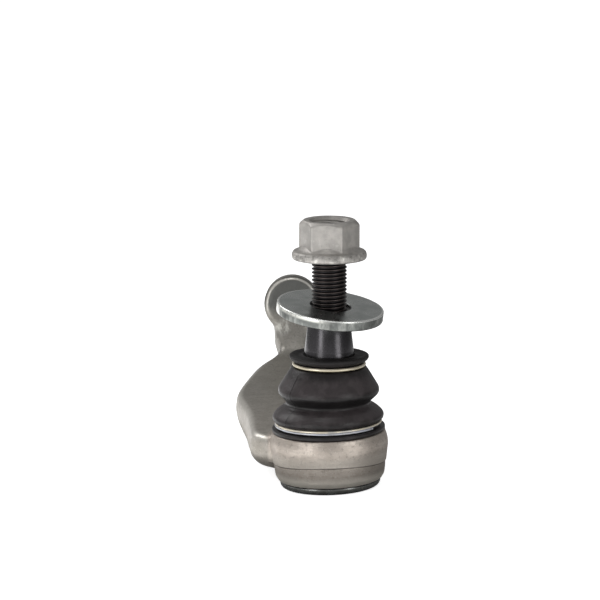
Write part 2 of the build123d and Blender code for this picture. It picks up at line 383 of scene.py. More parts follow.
def threaded_rod():
    """A closed screw: a sheared grid rolled up, so that its rows follow the helix."""
    tree = Shape(
        "threaded_rod", Radius=7.0, Depth=0.9, Pitch=1.5, Start=0.0, End=30.0, Tip=7.0, Foot=7.0,
        RowsPerTurn=14, Around=72,
    )
    radius, depth, pitch = tree.input("Radius"), tree.input("Depth"), tree.input("Pitch")
    start, end = tree.input("Start"), tree.input("End")
    row = pitch / tree.input("RowsPerTurn")
    rows = ((end - start + 3 * pitch) / row).math("CEIL")
    sizes = {"Size X": 1.0, "Size Y": 1.0}
    sizes.update({"Vertices X": tree.input("Around") + 1, "Vertices Y": rows + 1})
    grid = tree.add("GeometryNodeMeshGrid", None, sizes)
    x, y, _ = tree.parts(tree.add("GeometryNodeInputPosition"))
    turn, along = x + 0.5, y + 0.5
    climb = along * rows * row
    height = (start - 2 * pitch + climb + pitch * turn).most(start).least(end)
    wave = (climb / pitch).math("PINGPONG", 0.5) * 2
    crest = 1 - ((wave - CREST_FLAT) / FLANK).most(0.0).least(1.0)
    fade = ((height - start).least(end - height) / (RUN_OUT * pitch)).least(1.0)
    size = radius - depth + depth * crest * fade
    size = size.least(tree.input("Tip") + end - height)
    size = size.least(tree.input("Foot") + height - start)
    size = size * along.math("COMPARE", 0.5, 0.4998)  # the first and last rows close the ends
    angle = turn * TAU
    x, y = size * angle.math("COSINE"), size * angle.math("SINE")
    place = tree.joined(x * MM, y * MM, height * MM)
    rolled = tree.add("GeometryNodeSetPosition", None, {"Geometry": grid, "Position": place})
    merged = {"Geometry": rolled, "Distance": MERGE}
    tree.close(tree.add("GeometryNodeMergeByDistance", None, merged))
    return tree


def wire_ring():
    """A ring of round wire in one or more touching turns, with free ends."""
    tree = Shape(
        "wire_ring", Radius=20.0, Wire=0.5, Turns=2.0, Pitch=1.0, Height=0.0, StartAngle=0.0,
        Steps=120, Sides=14,
    )
    radius, turns = tree.input("Radius") * MM, tree.input("Turns")
    climb = turns * tree.input("Pitch") * MM
    coil = {"Start Radius": radius, "End Radius": radius, "Height": climb, "Rotations": turns}
    line = tree.add("GeometryNodeCurveSpiral", None, {"Resolution": tree.input("Steps"), **coil})
    turn = tree.joined(0.0, 0.0, tree.input("StartAngle"))
    lift = tree.joined(0.0, 0.0, tree.input("Height") * MM - climb / 2)
    placed = {"Geometry": line, "Translation": lift, "Rotation": turn}
    line = tree.add("GeometryNodeTransform", None, placed)
    size = {"Resolution": tree.input("Sides"), "Radius": tree.input("Wire") * MM}
    section = tree.add("GeometryNodeCurvePrimitiveCircle", {"mode": "RADIUS"}, size)
    swept = {"Curve": line, "Profile Curve": section, "Fill Caps": True}
    tree.close(tree.add("GeometryNodeCurveToMesh", None, swept))
    return tree


# ---------------------------------------------------------------- finishes


def boss_painted_light(finish, z):
    """Masks of painted light on the boss's near face: painted shade on its middle, a painted highlight ring round
    it, and painted shade on its rim.
    """
    off_axis, along = finish.about(BOSS_FACE, BOSS_AXIS)
    near = along.between(-4.0, 1.0, 3.0, 6.0) * off_axis.within(13.5, 12.6)
    near = near * z.within(BOSS_FACE[2] - 6.0, BOSS_FACE[2] + 1.0)
    ring = abs(off_axis - HIGHLIGHT_RING_RADIUS).within(0.6, 0.1)
    return off_axis.within(10.6, 10.0) * near, ring * near, off_axis.within(11.3, 11.7) * near


def neck_highlight_marks(finish, y):
    """Mask of a painted highlight on the arm's neck, broken into streaks."""
    off_axis, _ = finish.about(NECK_HIGHLIGHT, NECK_HIGHLIGHT_AXIS)
    streaks = finish.noise(1.1, detail=3, roughness=0.7, stretch=(1.0, 0.6, 0.35), shift=11.0)
    return off_axis.within(4.2, 2.0) * y.between(*NECK_HIGHLIGHT_RANGE) * streaks.within(0.34, 0.66)


def forged_finish(settings):
    """Shot-blasted aluminium forging: soft mottling, a fine pitted grain, a satin gloss, and painted light and
    shade.
    """
    finish = Finish("forged_aluminium", Metallic=0.9)
    x, y, z = finish.parts(finish.place)
    mottle = finish.noise(4.5, detail=4).within(0.36, 0.64)
    pits = finish.noise(1.2, detail=3, roughness=0.7)
    grain = finish.noise(0.6, detail=2, shift=3.0)
    brushed = finish.noise(0.55, detail=2, roughness=0.6, stretch=(0.1, 0.1, 1), shift=5.0)

    radius = (x * x + y * y).math("SQRT")
    front = (0 - y / radius.most(1.0)).most(0.0)
    above = z - PARTING - front * front * PARTING_RISE
    on_barrel = radius.within(25.0, 23.6)
    # Masks for painted shade below the parting line and a painted shadow line under its step.
    lower = above.within(0.05, -0.3) * on_barrel
    line = abs(above + 0.18).within(0.42, 0.05) * on_barrel
    # Painted light: paler bands on the barrel, above the parting line and low down near the lip.
    painted_fill_light = z.within(-1.0, -4.5) * (1 - lower) * 0.3 + z.within(-9.6, -13.2) * 0.75
    face, ring, outside = boss_painted_light(finish, z)
    neck_highlight = neck_highlight_marks(finish, y)
    # Painted highlight: points that stand out along the arm's edges are made paler, fading out before the neck.
    worn = finish.add("ShaderNodeAttribute", {"attribute_name": "worn"}, out="Fac")
    worn = worn.within(0.3, 0.95) * (1 - on_barrel) * y.within(112.0, 100.0)

    base = finish.layers(
        settings.colour,
        (mottle, settings.shade),
        (on_barrel * 0.5, (0.5, 0.425, 0.372)),
        (pits.within(0.54, 0.7) * 0.5, (0.19, 0.175, 0.155)),
        (grain.within(0.56, 0.74) * 0.45, (0.68, 0.645, 0.59)),
        (brushed.within(0.52, 0.68) * on_barrel * 0.22, (0.22, 0.205, 0.18)),
        # Painted shade: darker along the arm towards the boss, and darker again just before it.
        (y.within(15.0, 105.0) * 0.4, (0.17, 0.172, 0.16)),
        (y.within(106.0, 122.0) * 0.25, (0.1, 0.102, 0.095)),
        # Painted shade on the boss's face, a painted highlight ring at its rounded edge, and painted shade on its
        # rim.
        (face * 0.9, (0.115, 0.12, 0.115)),
        (ring * 0.62, (0.88, 0.86, 0.8)),
        (outside * 0.7, (0.1, 0.1, 0.09)),
        # Painted highlight along the arm's edges.
        (worn * 0.7, (0.88, 0.855, 0.79)),
        # Painted highlight on the neck.
        (neck_highlight * 0.6, (0.74, 0.73, 0.68)),
        # Painted shade below the parting line.
        (lower * 0.42, (0.2, 0.185, 0.165)),
        # Painted light: the paler bands on the barrel.
        (painted_fill_light * on_barrel, (0.85, 0.81, 0.73)),
        # Painted shadow: a dark line under the parting step.
        (line * 0.6, (0.07, 0.065, 0.06)),
    )
    roughness = 0.43 + mottle * 0.05 + (pits - 0.5) * 0.25 + lower * 0.08 - ring.most(worn) * 0.1
    bumps = (pits, 0.09), (grain, 0.04), (brushed * on_barrel, 0.03), (neck_highlight, 0.05)
    return finish.done(base, roughness, *bumps)


def lip_finish(settings):
    """Turned and rolled lip: dark, with fine rings from the tool, and painted shadow along its bottom and in the
    groove.
    """
    finish = Finish("turned_lip", Metallic=0.9)
    _, _, z = finish.parts(finish.place)
    rings = (z * 21.0).math("SINE") * 0.5 + 0.5
    stain = finish.noise(3.0, detail=3).within(0.4, 0.75)
    foot = z.within(UNDERSIDE + 1.0, UNDERSIDE + 0.45)
    groove = z.within(GROOVE - 0.7, GROOVE - 0.2)
    base = finish.layers(
        settings.lip_colour,
        (stain, (0.15, 0.15, 0.14)),
        # Painted shadow: dark along the very bottom and in the groove above the lip.
        (foot.most(groove) * 0.85, (0.03, 0.03, 0.03)),
    )
    fine = finish.noise(0.5, shift=5.0)
    return finish.done(base, 0.26 + stain * 0.1, (rings, 0.004), (fine, 0.004))


def plastic_finish(settings):
    """Moulded bearing shell, slightly greasy."""
    finish = Finish("bearing_plastic")
    grease = finish.noise(3.0, detail=3).within(0.4, 0.65)
    base = finish.blend(grease, settings.shell_colour, (0.62, 0.55, 0.4))
    return finish.done(base, 0.5 - grease * 0.25, (finish.noise(0.5, detail=2), 0.02))


def sheet_finish(name, base, dark, stretch=(1, 1, 1)):
    """Pressed sheet steel with rolling marks and small stains."""
    finish = Finish(name, Metallic=1.0)
    marks = finish.noise(1.4, detail=3, stretch=stretch)
    stain = finish.noise(4.5, detail=4, shift=7.0).within(0.45, 0.72)
    base = finish.layers(base, (marks.within(0.35, 0.7) * 0.4, dark), (stain * 0.5, dark))
    roughness = 0.32 + stain * 0.2 + (marks - 0.5) * 0.2
    return finish.done(base, roughness, (marks, 0.015), (stain, 0.01))


def stud_finish(settings):
    """Black phosphated steel, oiled: paler on the crests of the thread, part wear and part painted highlight."""
    finish = Finish("dark_steel", Metallic=0.96)
    x, y, z = finish.parts(finish.place)
    x = x - z * math.tan(STUD_LEAN)
    radius = (x * x + y * y).math("SQRT")
    on_thread = z.within(TAPER_TOP - 0.3, TAPER_TOP + 0.2)
    crest = radius.within(6.45, 6.92) * on_thread
    ball = z.within(15.0, 12.0)
    crystals = finish.noise(0.35, detail=2)
    stain = finish.noise(3.2, detail=3, stretch=(1, 1, 0.35), shift=2.0).within(0.4, 0.7)
    ripples = finish.noise(1.1, stretch=(1, 1, 4), shift=4.0)
    base = finish.layers(
        settings.colour,
        (stain * 0.6, (0.036, 0.035, 0.036)),
        (on_thread * 0.75, (0.02, 0.018, 0.018)),
        # Paler crests: part wear, part painted highlight.
        (crest * 0.85, settings.crest_colour),
        (ball, (0.5, 0.5, 0.5)),
    )
    roughness = 0.245 + on_thread * 0.11 + (crystals - 0.5) * 0.08 + stain * 0.05
    return finish.done(base, roughness, (crystals, 0.006), (ripples, 0.006))


def rubber_finish(settings):
    """Moulded black rubber: satin, greyer with bloom and a dusty film, painted sheen on its folds and painted
    shade in its waist.
    """
    finish = Finish("boot_rubber", Specular_IOR_Level=0.25)
    x, y, z = finish.parts(finish.place)
    bloom = finish.noise(5.5, detail=4, roughness=0.6).within(0.42, 0.7)
    specks = finish.noise(0.55, detail=3, shift=6.0)
    smears = finish.noise(3.4, detail=3, stretch=(1, 1, 0.5), shift=15.0)
    folds = z.between(20.8, 23.0, 26.0, 29.5) + z.between(10.5, 12.5, 15.0, 16.8)
    waist, top = z.between(15.8, 17.4, 19.4, 21.6), z.within(32.6, 33.8)
    upright = x - z * math.tan(STUD_LEAN) * z.within(*BOOT_BEND)
    across = upright * math.sin(settings.seam_turn) - y * math.cos(settings.seam_turn)
    seam = abs(across).within(0.4, 0.15) * z.between(9.5, 11.0, 27.0, 29.0)
    # Bloom all over, and paler fold bellies that are partly a dusty film and partly painted sheen, none in the
    # waist or on top.
    dust_and_sheen = (bloom * 0.5 + folds * (0.3 + smears * 0.8)).least(1.0) * (1 - waist.most(top) * 0.9)
    base = finish.layers(
        settings.colour,
        (dust_and_sheen, settings.bloom_and_sheen_colour),
        (specks.within(0.66, 0.8) * 0.2, (0.1, 0.095, 0.09)),
        # Painted shade in the waist, and the dark mould seam.
        ((waist * 0.7).most(seam * 0.6), (0.003, 0.003, 0.003)),
    )
    roughness = 0.33 + bloom * 0.12 + (specks - 0.5) * 0.08 + top * 0.22
    fine = finish.noise(0.22, detail=1, shift=9.0)
    creases = finish.noise(2.6, detail=2, stretch=(1, 1, 2.2), shift=1.0)
    return finish.done(base, roughness, (creases, 0.12), (specks, 0.02), (fine, 0.006))


def wire_finish(name, axis, upper, lower, dull, split):
    """Drawn spring wire with drawing lines and a few dull stains; the colours above and below the split are
    painted reflection and shade.
    """
    finish = Finish(name, Metallic=0.6)
    _, height = finish.about((0, 0, 0), axis)
    lines = finish.noise(0.3, detail=2, stretch=(0.04, 0.04, 2.0))
    stain = finish.noise(5.0, detail=2, shift=4.0).within(0.45, 0.6)
    is_upper = height.within(split - 0.12, split + 0.12)
    base = finish.layers(lower, (is_upper, upper), (stain * 0.7, dull))
    return finish.done(base, 0.3 + stain * 0.1 + (lines - 0.5) * 0.06, (lines, 0.001))


def washer_finish(settings):
    """Zinc-plated washer: satin faces and a scuffed rim; its highlights, darker rim and dark hole are painted
    light and shade."""
    finish = Finish("zinc_steel", Metallic=1.0)
    place = WASHER_PLACE @ Vector((0, 0, 0)) / MM
    axis = WASHER_PLACE.to_3x3() @ Vector((0, 0, 1))
    radius, height = finish.about(place, axis)
    x, _, _ = finish.parts(finish.place)
    side = radius.within(WASHER_RADIUS - 0.5, WASHER_RADIUS - 0.2)
    # Painted highlight on the washer's upper edge.
    edge = radius.within(WASHER_RADIUS - 1.0, WASHER_RADIUS - 0.6) * height.within(1.2, 1.6)
    edge = edge * (1 - side * height.within(1.72, 1.4))
    # Painted shade in the hole.
    hole = radius.within(WASHER_HOLE + 0.5, WASHER_HOLE + 0.1)
    # Masks for painted highlights at the rim's left end and along its left side.
    left_end, left_side = x.within(-17.3, -18.3), x.within(4.0, -4.0)
    cloud = finish.noise(6.0, detail=3).within(0.35, 0.68)
    scuffs = finish.noise(0.7, detail=4, roughness=0.65, stretch=(1, 0.3, 1), shift=3.0)
    patches = finish.noise(5.0, detail=3, roughness=0.6, shift=12.0).within(0.4, 0.62)
    specks = finish.noise(0.28, detail=2, shift=8.0)
    marks = finish.noise(3.2, detail=3, roughness=0.6, stretch=(1, 1, 0.4), shift=19.0)
    sheen = height.within(0.1, 1.2) * left_side * (1 - marks.within(0.5, 0.66) * 0.8)
    # The rim's colours: painted shade, random patches and marks, and painted highlights.
    rim = finish.layers(
        settings.shaded_rim_colour,
        (patches * 0.7, (0.09, 0.095, 0.09)),
        (marks.within(0.46, 0.72) * 0.5, (0.5, 0.51, 0.48)),
        # Painted highlights at the rim's left end and along its left side.
        (left_end, (0.97, 0.97, 0.95)),
        (sheen * 0.75, (0.8, 0.8, 0.74)),
    )
    base = finish.layers(
        settings.colour,
        (cloud, settings.shade),
        (scuffs.within(0.55, 0.78) * 0.3, (0.7, 0.71, 0.69)),
        (side, rim),
        # Painted highlight on the upper edge.
        (edge * 0.95, (0.97, 0.98, 0.95)),
        # Painted shade in the hole.
        (hole, (0.02, 0.02, 0.02)),
    )
    roughness = 0.27 + cloud * 0.08 + (scuffs - 0.5) * 0.2 + side * 0.06 - edge * 0.1
    return finish.done(base, roughness, (scuffs, 0.006), (specks, 0.003))


def nut_finish(settings):
    """Zinc-flake coating: pale, dry, slightly speckled, with rubbing marks, a grimy flange and painted shade along
    its bottom.
    """
    finish = Finish("nut_steel", Metallic=0.72)
    cloud = finish.noise(4.0, detail=3).within(0.36, 0.66)
    flakes = finish.noise(0.45, detail=3, roughness=0.6, shift=2.0)
    rubs = finish.noise(2.0, detail=4, roughness=0.7, stretch=(1, 1, 0.5), shift=5.0)
    rubs = rubs.within(0.58, 0.75)
    chips = finish.noise(0.9, detail=3, roughness=0.7, shift=14.0).within(0.66, 0.74)
    scratches = finish.noise(1.1, detail=2, stretch=(0.35, 1, 3.4), shift=17.0).within(0.69, 0.76)
    marks = (chips + scratches * 0.8).least(1.0)
    radius, height = finish.about((0, 0, 0), STUD_AXIS)
    rim = radius.within(13.5, 14.3) * height.within(NUT_BOTTOM + 4.5, NUT_BOTTOM + 3.6)
    grime = finish.noise(2.4, detail=4, roughness=0.7, shift=23.0)
    # Painted shade along the nut's bottom, where it sits on the washer.
    foot = height.within(NUT_BOTTOM + 0.9, NUT_BOTTOM + 0.2)
    base = finish.layers(
        settings.colour,
        (cloud, settings.shade),
        (flakes.within(0.58, 0.75) * 0.35, (0.3, 0.29, 0.27)),
        (rubs * 0.4, (0.62, 0.61, 0.59)),
        (marks * 0.75, (0.1, 0.095, 0.09)),
        (rim * grime.within(0.5, 0.62) * 0.6, (0.13, 0.13, 0.12)),
        (rim * grime.within(0.46, 0.36) * 0.6, (0.72, 0.71, 0.66)),
        # Painted shade along the nut's bottom.
        (foot * 0.6, (0.12, 0.115, 0.11)),
    )
    roughness = 0.5 - rubs * 0.14 + (flakes - 0.5) * 0.2
    return finish.done(base, roughness, (flakes, 0.03), (rubs, 0.02), (1 - marks, 0.03))


# ---------------------------------------------------------------- settings


def property_of(kind, scale=1, **fixed):
    """A function that makes properties of this kind, from a name, a description and a value."""

    def make(name, description, value):
        return kind(name=name, description=description, default=value * scale, **fixed)

    return make


length = property_of(bpy.props.FloatProperty, MM, unit="LENGTH", precision=5, min=0.0)
degrees = property_of(bpy.props.FloatProperty, math.pi / 180, subtype="ANGLE")
amount = property_of(bpy.props.FloatProperty, min=0.0)
count = property_of(bpy.props.IntProperty, min=1)


def tint(name, description, *rgb):
    shade = (*rgb, 1.0)
    return bpy.props.FloatVectorProperty(
        name=name, description=description, default=shade, size=4, min=0.0, max=1.0, subtype="COLOR"
    )


class HousingSettings(bpy.types.PropertyGroup):
    grain: length("Grain", "Edge of the cells that the forging is rebuilt from", 0.6)
    fillet: count("Fillet passes", "How far the inside corners of the forging are filled", 34)
    relax: count("Edge passes", "How far the forging's outside edges are softened", 4)
    step: length("Parting step", "How far the upper die's half stands over the lower", 0.3)
    bore_thread: length("Boss thread", "Outside diameter of the thread in the boss", 16.0)
    colour: tint("Metal", "Blasted aluminium", 0.465, 0.432, 0.388)
    shade: tint("Metal, darker patches", "Blasted aluminium where it is duller", 0.4, 0.371, 0.328)
    lip_colour: tint("Lip", "Rolled lip round the closure", 0.24, 0.245, 0.235)


class BearingSettings(bpy.types.PropertyGroup):
    shell_colour: tint("Shell", "Moulded bearing shell", 0.8, 0.77, 0.68)
    steel_colour: tint("Steel", "Closure cover", 0.42, 0.42, 0.43)
    spring_colour: tint("Spring", "Disc spring", 0.2, 0.2, 0.22)


class StudSettings(bpy.types.PropertyGroup):
    pitch: length("Pitch", "Pitch of the stud's thread", 1.5)
    depth: length("Thread depth", "From the thread's crest to its root", 0.88)
    colour: tint("Black finish", "Phosphated steel", 0.078, 0.075, 0.08)
    # Paler thread crests: part wear, part painted highlight.
    crest_colour: tint("Rubbed steel", "Crests of the thread", 0.105, 0.088, 0.083)


class BootSettings(bpy.types.PropertyGroup):
    seam: length("Mould seam", "Height of the raised line that the mould leaves", 0.13)
    seam_turn: degrees("Seam angle", "Where the mould's first seam lies round the boot", -141.0)
    waver: length("Waver", "How far the rubber wanders from a true round", 0.12)
    colour: tint("Rubber", "Black rubber", 0.0122, 0.0105, 0.0107)
    # Also the painted sheen on the folds.
    bloom_and_sheen_colour: tint("Bloom", "Rubber where it has bloomed or is dusty", 0.0445, 0.0375, 0.0388)


class RingSettings(bpy.types.PropertyGroup):
    upper_wire: length("Upper wire", "Radius of the upper ring's wire", 0.66)
    lower_wire: length("Lower wire", "Radius of the lower ring's wire", 0.45)
    turns: amount("Lower turns", "Turns of wire in the lower ring", 1.45)
    end_turn: degrees("Lower ring's end", "Where its lower free end lies", -35.0)
    # The yellow and the plain tones are painted reflection: the wires differ only in what they reflect.
    upper_colour: tint("Yellow wire", "Upper ring, and the lower ring's upper turn", 0.74, 0.675, 0.54)
    lower_colour: tint("Plain wire", "The lower ring's lower turn", 0.54, 0.56, 0.62)


class WasherSettings(bpy.types.PropertyGroup):
    edge: length("Edge radius", "Rounding of the washer's outer edges", 0.5)
    colour: tint("Zinc", "Zinc plating", 0.5, 0.52, 0.505)
    shade: tint("Zinc, darker clouds", "Zinc plating where it is duller", 0.4, 0.425, 0.41)
    # Painted shade: the rim is the same zinc, made darker.
    shaded_rim_colour: tint("Rim", "Zinc plating on the stamped rim", 0.17, 0.178, 0.17)


class NutSettings(bpy.types.PropertyGroup):
    flats: length("Across flats", "Width of the hexagon", 21.0)
    corner: length("Corner rounding", "How softly the nut's faces run into each other", 0.35)
    colour: tint("Coating", "Zinc-flake coating", 0.45, 0.43, 0.405)
    shade: tint("Coating, darker patches", "Zinc-flake coating where it is duller", 0.36, 0.345, 0.325)


class StudioSettings(bpy.types.PropertyGroup):
    pitch: degrees("Camera pitch", "How far the camera looks down", 10.8)
    roll: degrees("Camera roll", "Roll that brings the leaning stud upright in the picture", 2.036)
    distance: length("Camera distance", "From the camera to the plane through the ball", 1410.8)
    lens: amount("Lens", "Focal length on a 36 mm sensor, in millimetres", 213.36)
    across: length("Aim across", "Ball's place to the right of the picture's centre", 11.5)
    below: length("Aim below", "Ball's place below the picture's centre", 56.18)
    key: amount("Key light", "Brightness of the left softbox's face", 3.0)
    side: amount("Side light", "Brightness of the right softbox's face", 3.1)
    rim: amount("Rim light", "Brightness of the softbox behind on the left", 3.0)
    top: amount("Top light", "Brightness of the softbox overhead", 4.0)
    card: amount("Bounce cards", "Brightness of the cards on the floor round the part", 1.0)
    zenith: amount("Overhead", "Brightness of the studio overhead", 0.36)
    horizon: amount("Horizon", "Brightness of the studio round the horizon", 0.33)
    bounce: amount("Bounce", "Share of light that the floor throws back at the part", 0.3)
    glow: amount("Floor glow", "Brightness that the floor shows the lens by itself", 0.78)
    floor_colour: tint("Floor", "Plain pale floor", 0.93, 0.93, 0.93)


# ---------------------------------------------------------------- shared by the pieces


def settle(name, mesh, finishes, body, slot, *nodes):
    """Makes the piece, gives it its finishes, hangs it on its body if it has one, and hides its CAD nodes."""
    mesh.materials.clear()
    for finish in finishes:
        mesh.materials.append(finish)
    piece = piece_of(name, mesh)
    if body:
        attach(piece, body)
    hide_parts(*nodes)
    return piece


def repaint(node, finish):
    """Gives a CAD piece that keeps its shape a new material."""
    for slot in frame["nodes"][node].material_slots:
        slot.material = finish


def waver(angles, seed, waves=(2, 3, 5, 7, 11)):
    """Slow wandering round a turn, about 1 high at most, the same on each run."""
    draw = np.random.default_rng(seed)
    total = np.zeros_like(angles)
    for wave in waves:
        total += np.sin(wave * angles + draw.uniform(0, TAU)) / wave
    return total


def rows_of(items, field, wide=3, kind=float):
    """A field of a mesh's points, edges or faces, one row of numbers for each."""
    flat = np.zeros(len(items) * wide, kind)
    items.foreach_get(field, flat)
    return flat.reshape(-1, wide)


def points_of(mesh):
    """The mesh's points in millimetres."""
    return rows_of(mesh.vertices, "co") / MM


def set_points(mesh, points):
    mesh.vertices.foreach_set("co", (points * MM).ravel())
    mesh.update()


def normals_of(mesh):
    return rows_of(mesh.vertex_normals, "vector")


def neighbours(mesh):
    """A function that gives the mean place of each point's neighbours."""
    a, b = rows_of(mesh.edges, "vertices", 2, int).T
    total = len(mesh.vertices)
    near = np.bincount(a, minlength=total) + np.bincount(b, minlength=total)

    def mean(points):
        sums = [np.bincount(a, p[b], total) + np.bincount(b, p[a], total) for p in points.T]
        return np.column_stack(sums) / near[:, None]

    return mean


def mark_edges(mesh, name, passes, full):
    """Stores how far each point stands out of its surroundings: 1 from full millimetres up."""
    mean, points = neighbours(mesh), points_of(mesh)
    relaxed = points
    for _ in range(passes):
        relaxed = (relaxed + mean(relaxed)) / 2
    standing = ((points - relaxed) * normals_of(mesh)).sum(1) / full
    layer = mesh.attributes.new(name, "FLOAT", "POINT")
    layer.data.foreach_set("value", np.clip(standing, 0, 1).astype(np.float32))


FRESH_NORMALS = 6  # passes after which the normals are taken again


def even_out(mesh, passes, weight, fill=False):
    """Moves points towards their neighbours. With fill, only outwards, so that hollows fill up."""
    mean, points = neighbours(mesh), points_of(mesh)
    for turn in range(passes):
        pull = (mean(points) - points) * 0.5 * weight[:, None]
        if fill:
            if turn % FRESH_NORMALS == 0:
                set_points(mesh, points)
                normals = normals_of(mesh)
            pull = np.maximum((pull * normals).sum(1), 0)[:, None] * normals
        points = points + pull
    set_points(mesh, points)


# ---------------------------------------------------------------- housing

# Heights on the barrel, from the underside up. The parting line rises towards the front, and its
# spread and trim say how far up and down that rise is felt, and how uneven the edge is.
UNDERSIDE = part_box("housing")[0].z / MM
GROOVE = UNDERSIDE + 2.95
PARTING, PARTING_RISE, RISE_SPREAD, EDGE_TRIM = -7.3, 1.5, 3.2, 0.06
SHOULDER, COLLAR_TOP = 4.9, 10.8
# Inside it: the shell's seat, half angle of the mouth, flare for the swing, and the cover.
SEAT_RADIUS, MOUTH_ANGLE, SWING_ROOM = 16.0, 58, 30
COVER_RADIUS, COVER_TOP, COVER_BACK = 18.5, -12.8, -14.8
# Where the cells of the forging end in the lip, how deep they lie behind the barrel's skin, and the
# passes that even all of them out at the end.
LIP_RADIUS, SINK_DEPTH, LAST_PASSES = 18.9, 0.7, 5
# The boss, whose thread ends where the frame's mount does.
BOSS_AXIS = np.array(ROD_THREAD["axis"])
BOSS_WALL = ROD_THREAD["dims"]["length_mm"]
BOSS_RADIUS, BOSS_LENGTH, BOSS_BORE = 12.1, 46.0, 7.25
BORE_START = BOSS_LENGTH - 1.0 - BOSS_WALL
BOSS_FACE = np.array(ROD_THREAD["pos_m"]) / MM - (BORE_START + BOSS_WALL / 2) * BOSS_AXIS
HIGHLIGHT_RING_RADIUS, DRILL_POINT, THREAD_MARGIN = 10.9, 30, 1.5
# Centre, axis and range along the arm of the painted highlight on the neck.
NECK_HIGHLIGHT, NECK_HIGHLIGHT_AXIS = (-17.2, 128.0, 21.6), (0.0, 0.982, -0.187)
NECK_HIGHLIGHT_RANGE = (114.0, 117.0, 131.5, 134.0)
# How far from the barrel's and the boss's axes, and from the boss's face, the fillets fade out.
BARREL_FILLET, BOSS_FILLET, FACE_FILLET = (26.0, 30.0), (15.0, 19.0), (-8.0, -4.0)

# Stations along the arm: distance back, left and right edges, height of the parting line, rise above
# it and drop below it, lean in degrees, and the radius of the lower corners.
ARM_STATIONS = (
    (-6.0, -20.0, 19.8, -4.2, 6.2, 5.8, 0, 4.6),
    (0.0, -25.6, 22.0, -3.2, 5.8, 7.2, 0, 6.4),
    (5.0, -29.8, 22.8, -2.8, 5.9, 8.1, 0, 7.2),
    (14.0, -32.0, 22.8, -3.0, 6.3, 8.7, 0, 7.4),
    (30.0, -32.9, 20.0, -3.9, 7.4, 8.4, 0, 6.0),
    (48.0, -34.2, 10.0, -3.9, 7.5, 7.5, 2, 3.6),
    (64.0, -36.5, -1.0, -3.1, 6.9, 6.9, 4, 3.4),
    (78.0, -37.9, -6.8, -2.0, 6.2, 6.2, 6, 3.4),
    (92.0, -36.0, -8.5, -0.5, 5.8, 5.8, 10, 3.4),
    (104.0, -32.2, -7.8, 1.8, 5.9, 5.9, 17, 3.4),
    (114.0, -26.9, -6.0, 4.7, 6.1, 6.1, 27, 3.4),
    (122.0, -20.8, -5.2, 8.0, 6.5, 6.5, 39, 3.4),
    (132.5, -20.3, -4.8, 16.1, 10.0, 10.0, 60, 3.4),
    (138.0, -21.4, -3.6, 22.6, 12.0, 12.0, 70, 3.4),
)
ARM_DRAFT, ARM_CORNER, ARM_STEP = 0.9, 3.0, 0.6
# Hollow and swell in the arm's left edge: how far out, at what distance back, and how long.
ARM_EDGE_WAVES = ((-0.5, 124.8, 3.0), (1.1, 130.5, 3.6))


def spline(knots, values, spots):
    """Smooth curve through the rows of values at the knots, read at the spots."""
    gaps = np.diff(knots)
    slopes = np.diff(values, axis=0) / gaps[:, None]
    system = np.eye(len(knots))
    target = np.zeros_like(values)
    for i in range(1, len(knots) - 1):
        system[i, i - 1 : i + 2] = gaps[i - 1], 2 * (gaps[i - 1] + gaps[i]), gaps[i]
        target[i] = 6 * (slopes[i] - slopes[i - 1])
    bend = np.linalg.solve(system, target)
    i = np.clip(np.searchsorted(knots, spots) - 1, 0, len(knots) - 2)
    gap = gaps[i][:, None]
    before = (knots[i + 1] - spots)[:, None] / gap
    after = 1 - before
    curve = (before**3 - before) * bend[i] + (after**3 - after) * bend[i + 1]
    return before * values[i] + after * values[i + 1] + curve * gap**2 / 6


def rounded(corner, before, after, radius, steps=10):
    """Points round a corner of a section, from the side towards before to the side towards after."""
    corner, before, after = (np.array(p, float) for p in (corner, before, after))
    one, two = before - corner, after - corner
    one, two = one / np.linalg.norm(one), two / np.linalg.norm(two)
    half = math.acos(one @ two) / 2
    middle = (one + two) / np.linalg.norm(one + two)
    centre = corner + middle * radius / math.sin(half)
    reach = radius / math.tan(half)
    start, end = corner + one * reach - centre, corner + two * reach - centre
    spread = math.pi - 2 * half
    turns = np.linspace(0, spread, steps + 1)[:, None]
    return centre + (np.sin(spread - turns) * start + np.sin(turns) * end) / math.sin(spread)


def arm_section(left, right, rise, drop, under):
    """Drafted section of the arm: its outline across and up, counted the same at every station."""
    side = (right - left) / 2
    flat = side - ARM_DRAFT
    low_left, low_right, top_right, top_left = (-flat, -drop), (flat, -drop), (flat, rise), (-flat, rise)
    runs = [
        rounded(low_left, (-side, 0), low_right, under),
        rounded(low_right, low_left, (side, 0), under),
        [(side, 0)],
        rounded(top_right, (side, 0), top_left, ARM_CORNER),
        rounded(top_left, top_right, (-side, 0), ARM_CORNER),
        [(-side, 0)],
    ]
    return np.vstack(runs)


def arm_mesh():
    """The arm from the barrel's middle into the boss, with a smooth run through its stations."""
    stations = np.array(ARM_STATIONS)
    backs = np.arange(stations[0, 0], stations[-1, 0] + 0.01, ARM_STEP)
    rows = []
    for back, run in zip(backs, spline(stations[:, 0], stations[:, 1:], backs)):
        left, right, parting, rise, drop, lean, under = run
        left -= sum(out * math.exp(-(((back - at) / long) ** 2)) for out, at, long in ARM_EDGE_WAVES)
        across, up = arm_section(left, right, rise, drop, under).T
        lean = math.radians(lean)
        x, y = (left + right) / 2 + across, back - up * math.sin(lean)
        rows.append(np.column_stack((x, y, parting + up * math.cos(lean))))
    wide, last = len(rows[0]), (len(rows) - 1) * len(rows[0])
    faces = [tuple(range(wide)), tuple(range(last, last + wide))]
    for here in range(0, last, wide):
        for j in range(wide):
            k = (j + 1) % wide
            faces.append((here + j, here + k, here + wide + k, here + wide + j))
    return mesh_of("arm", np.vstack(rows), faces)


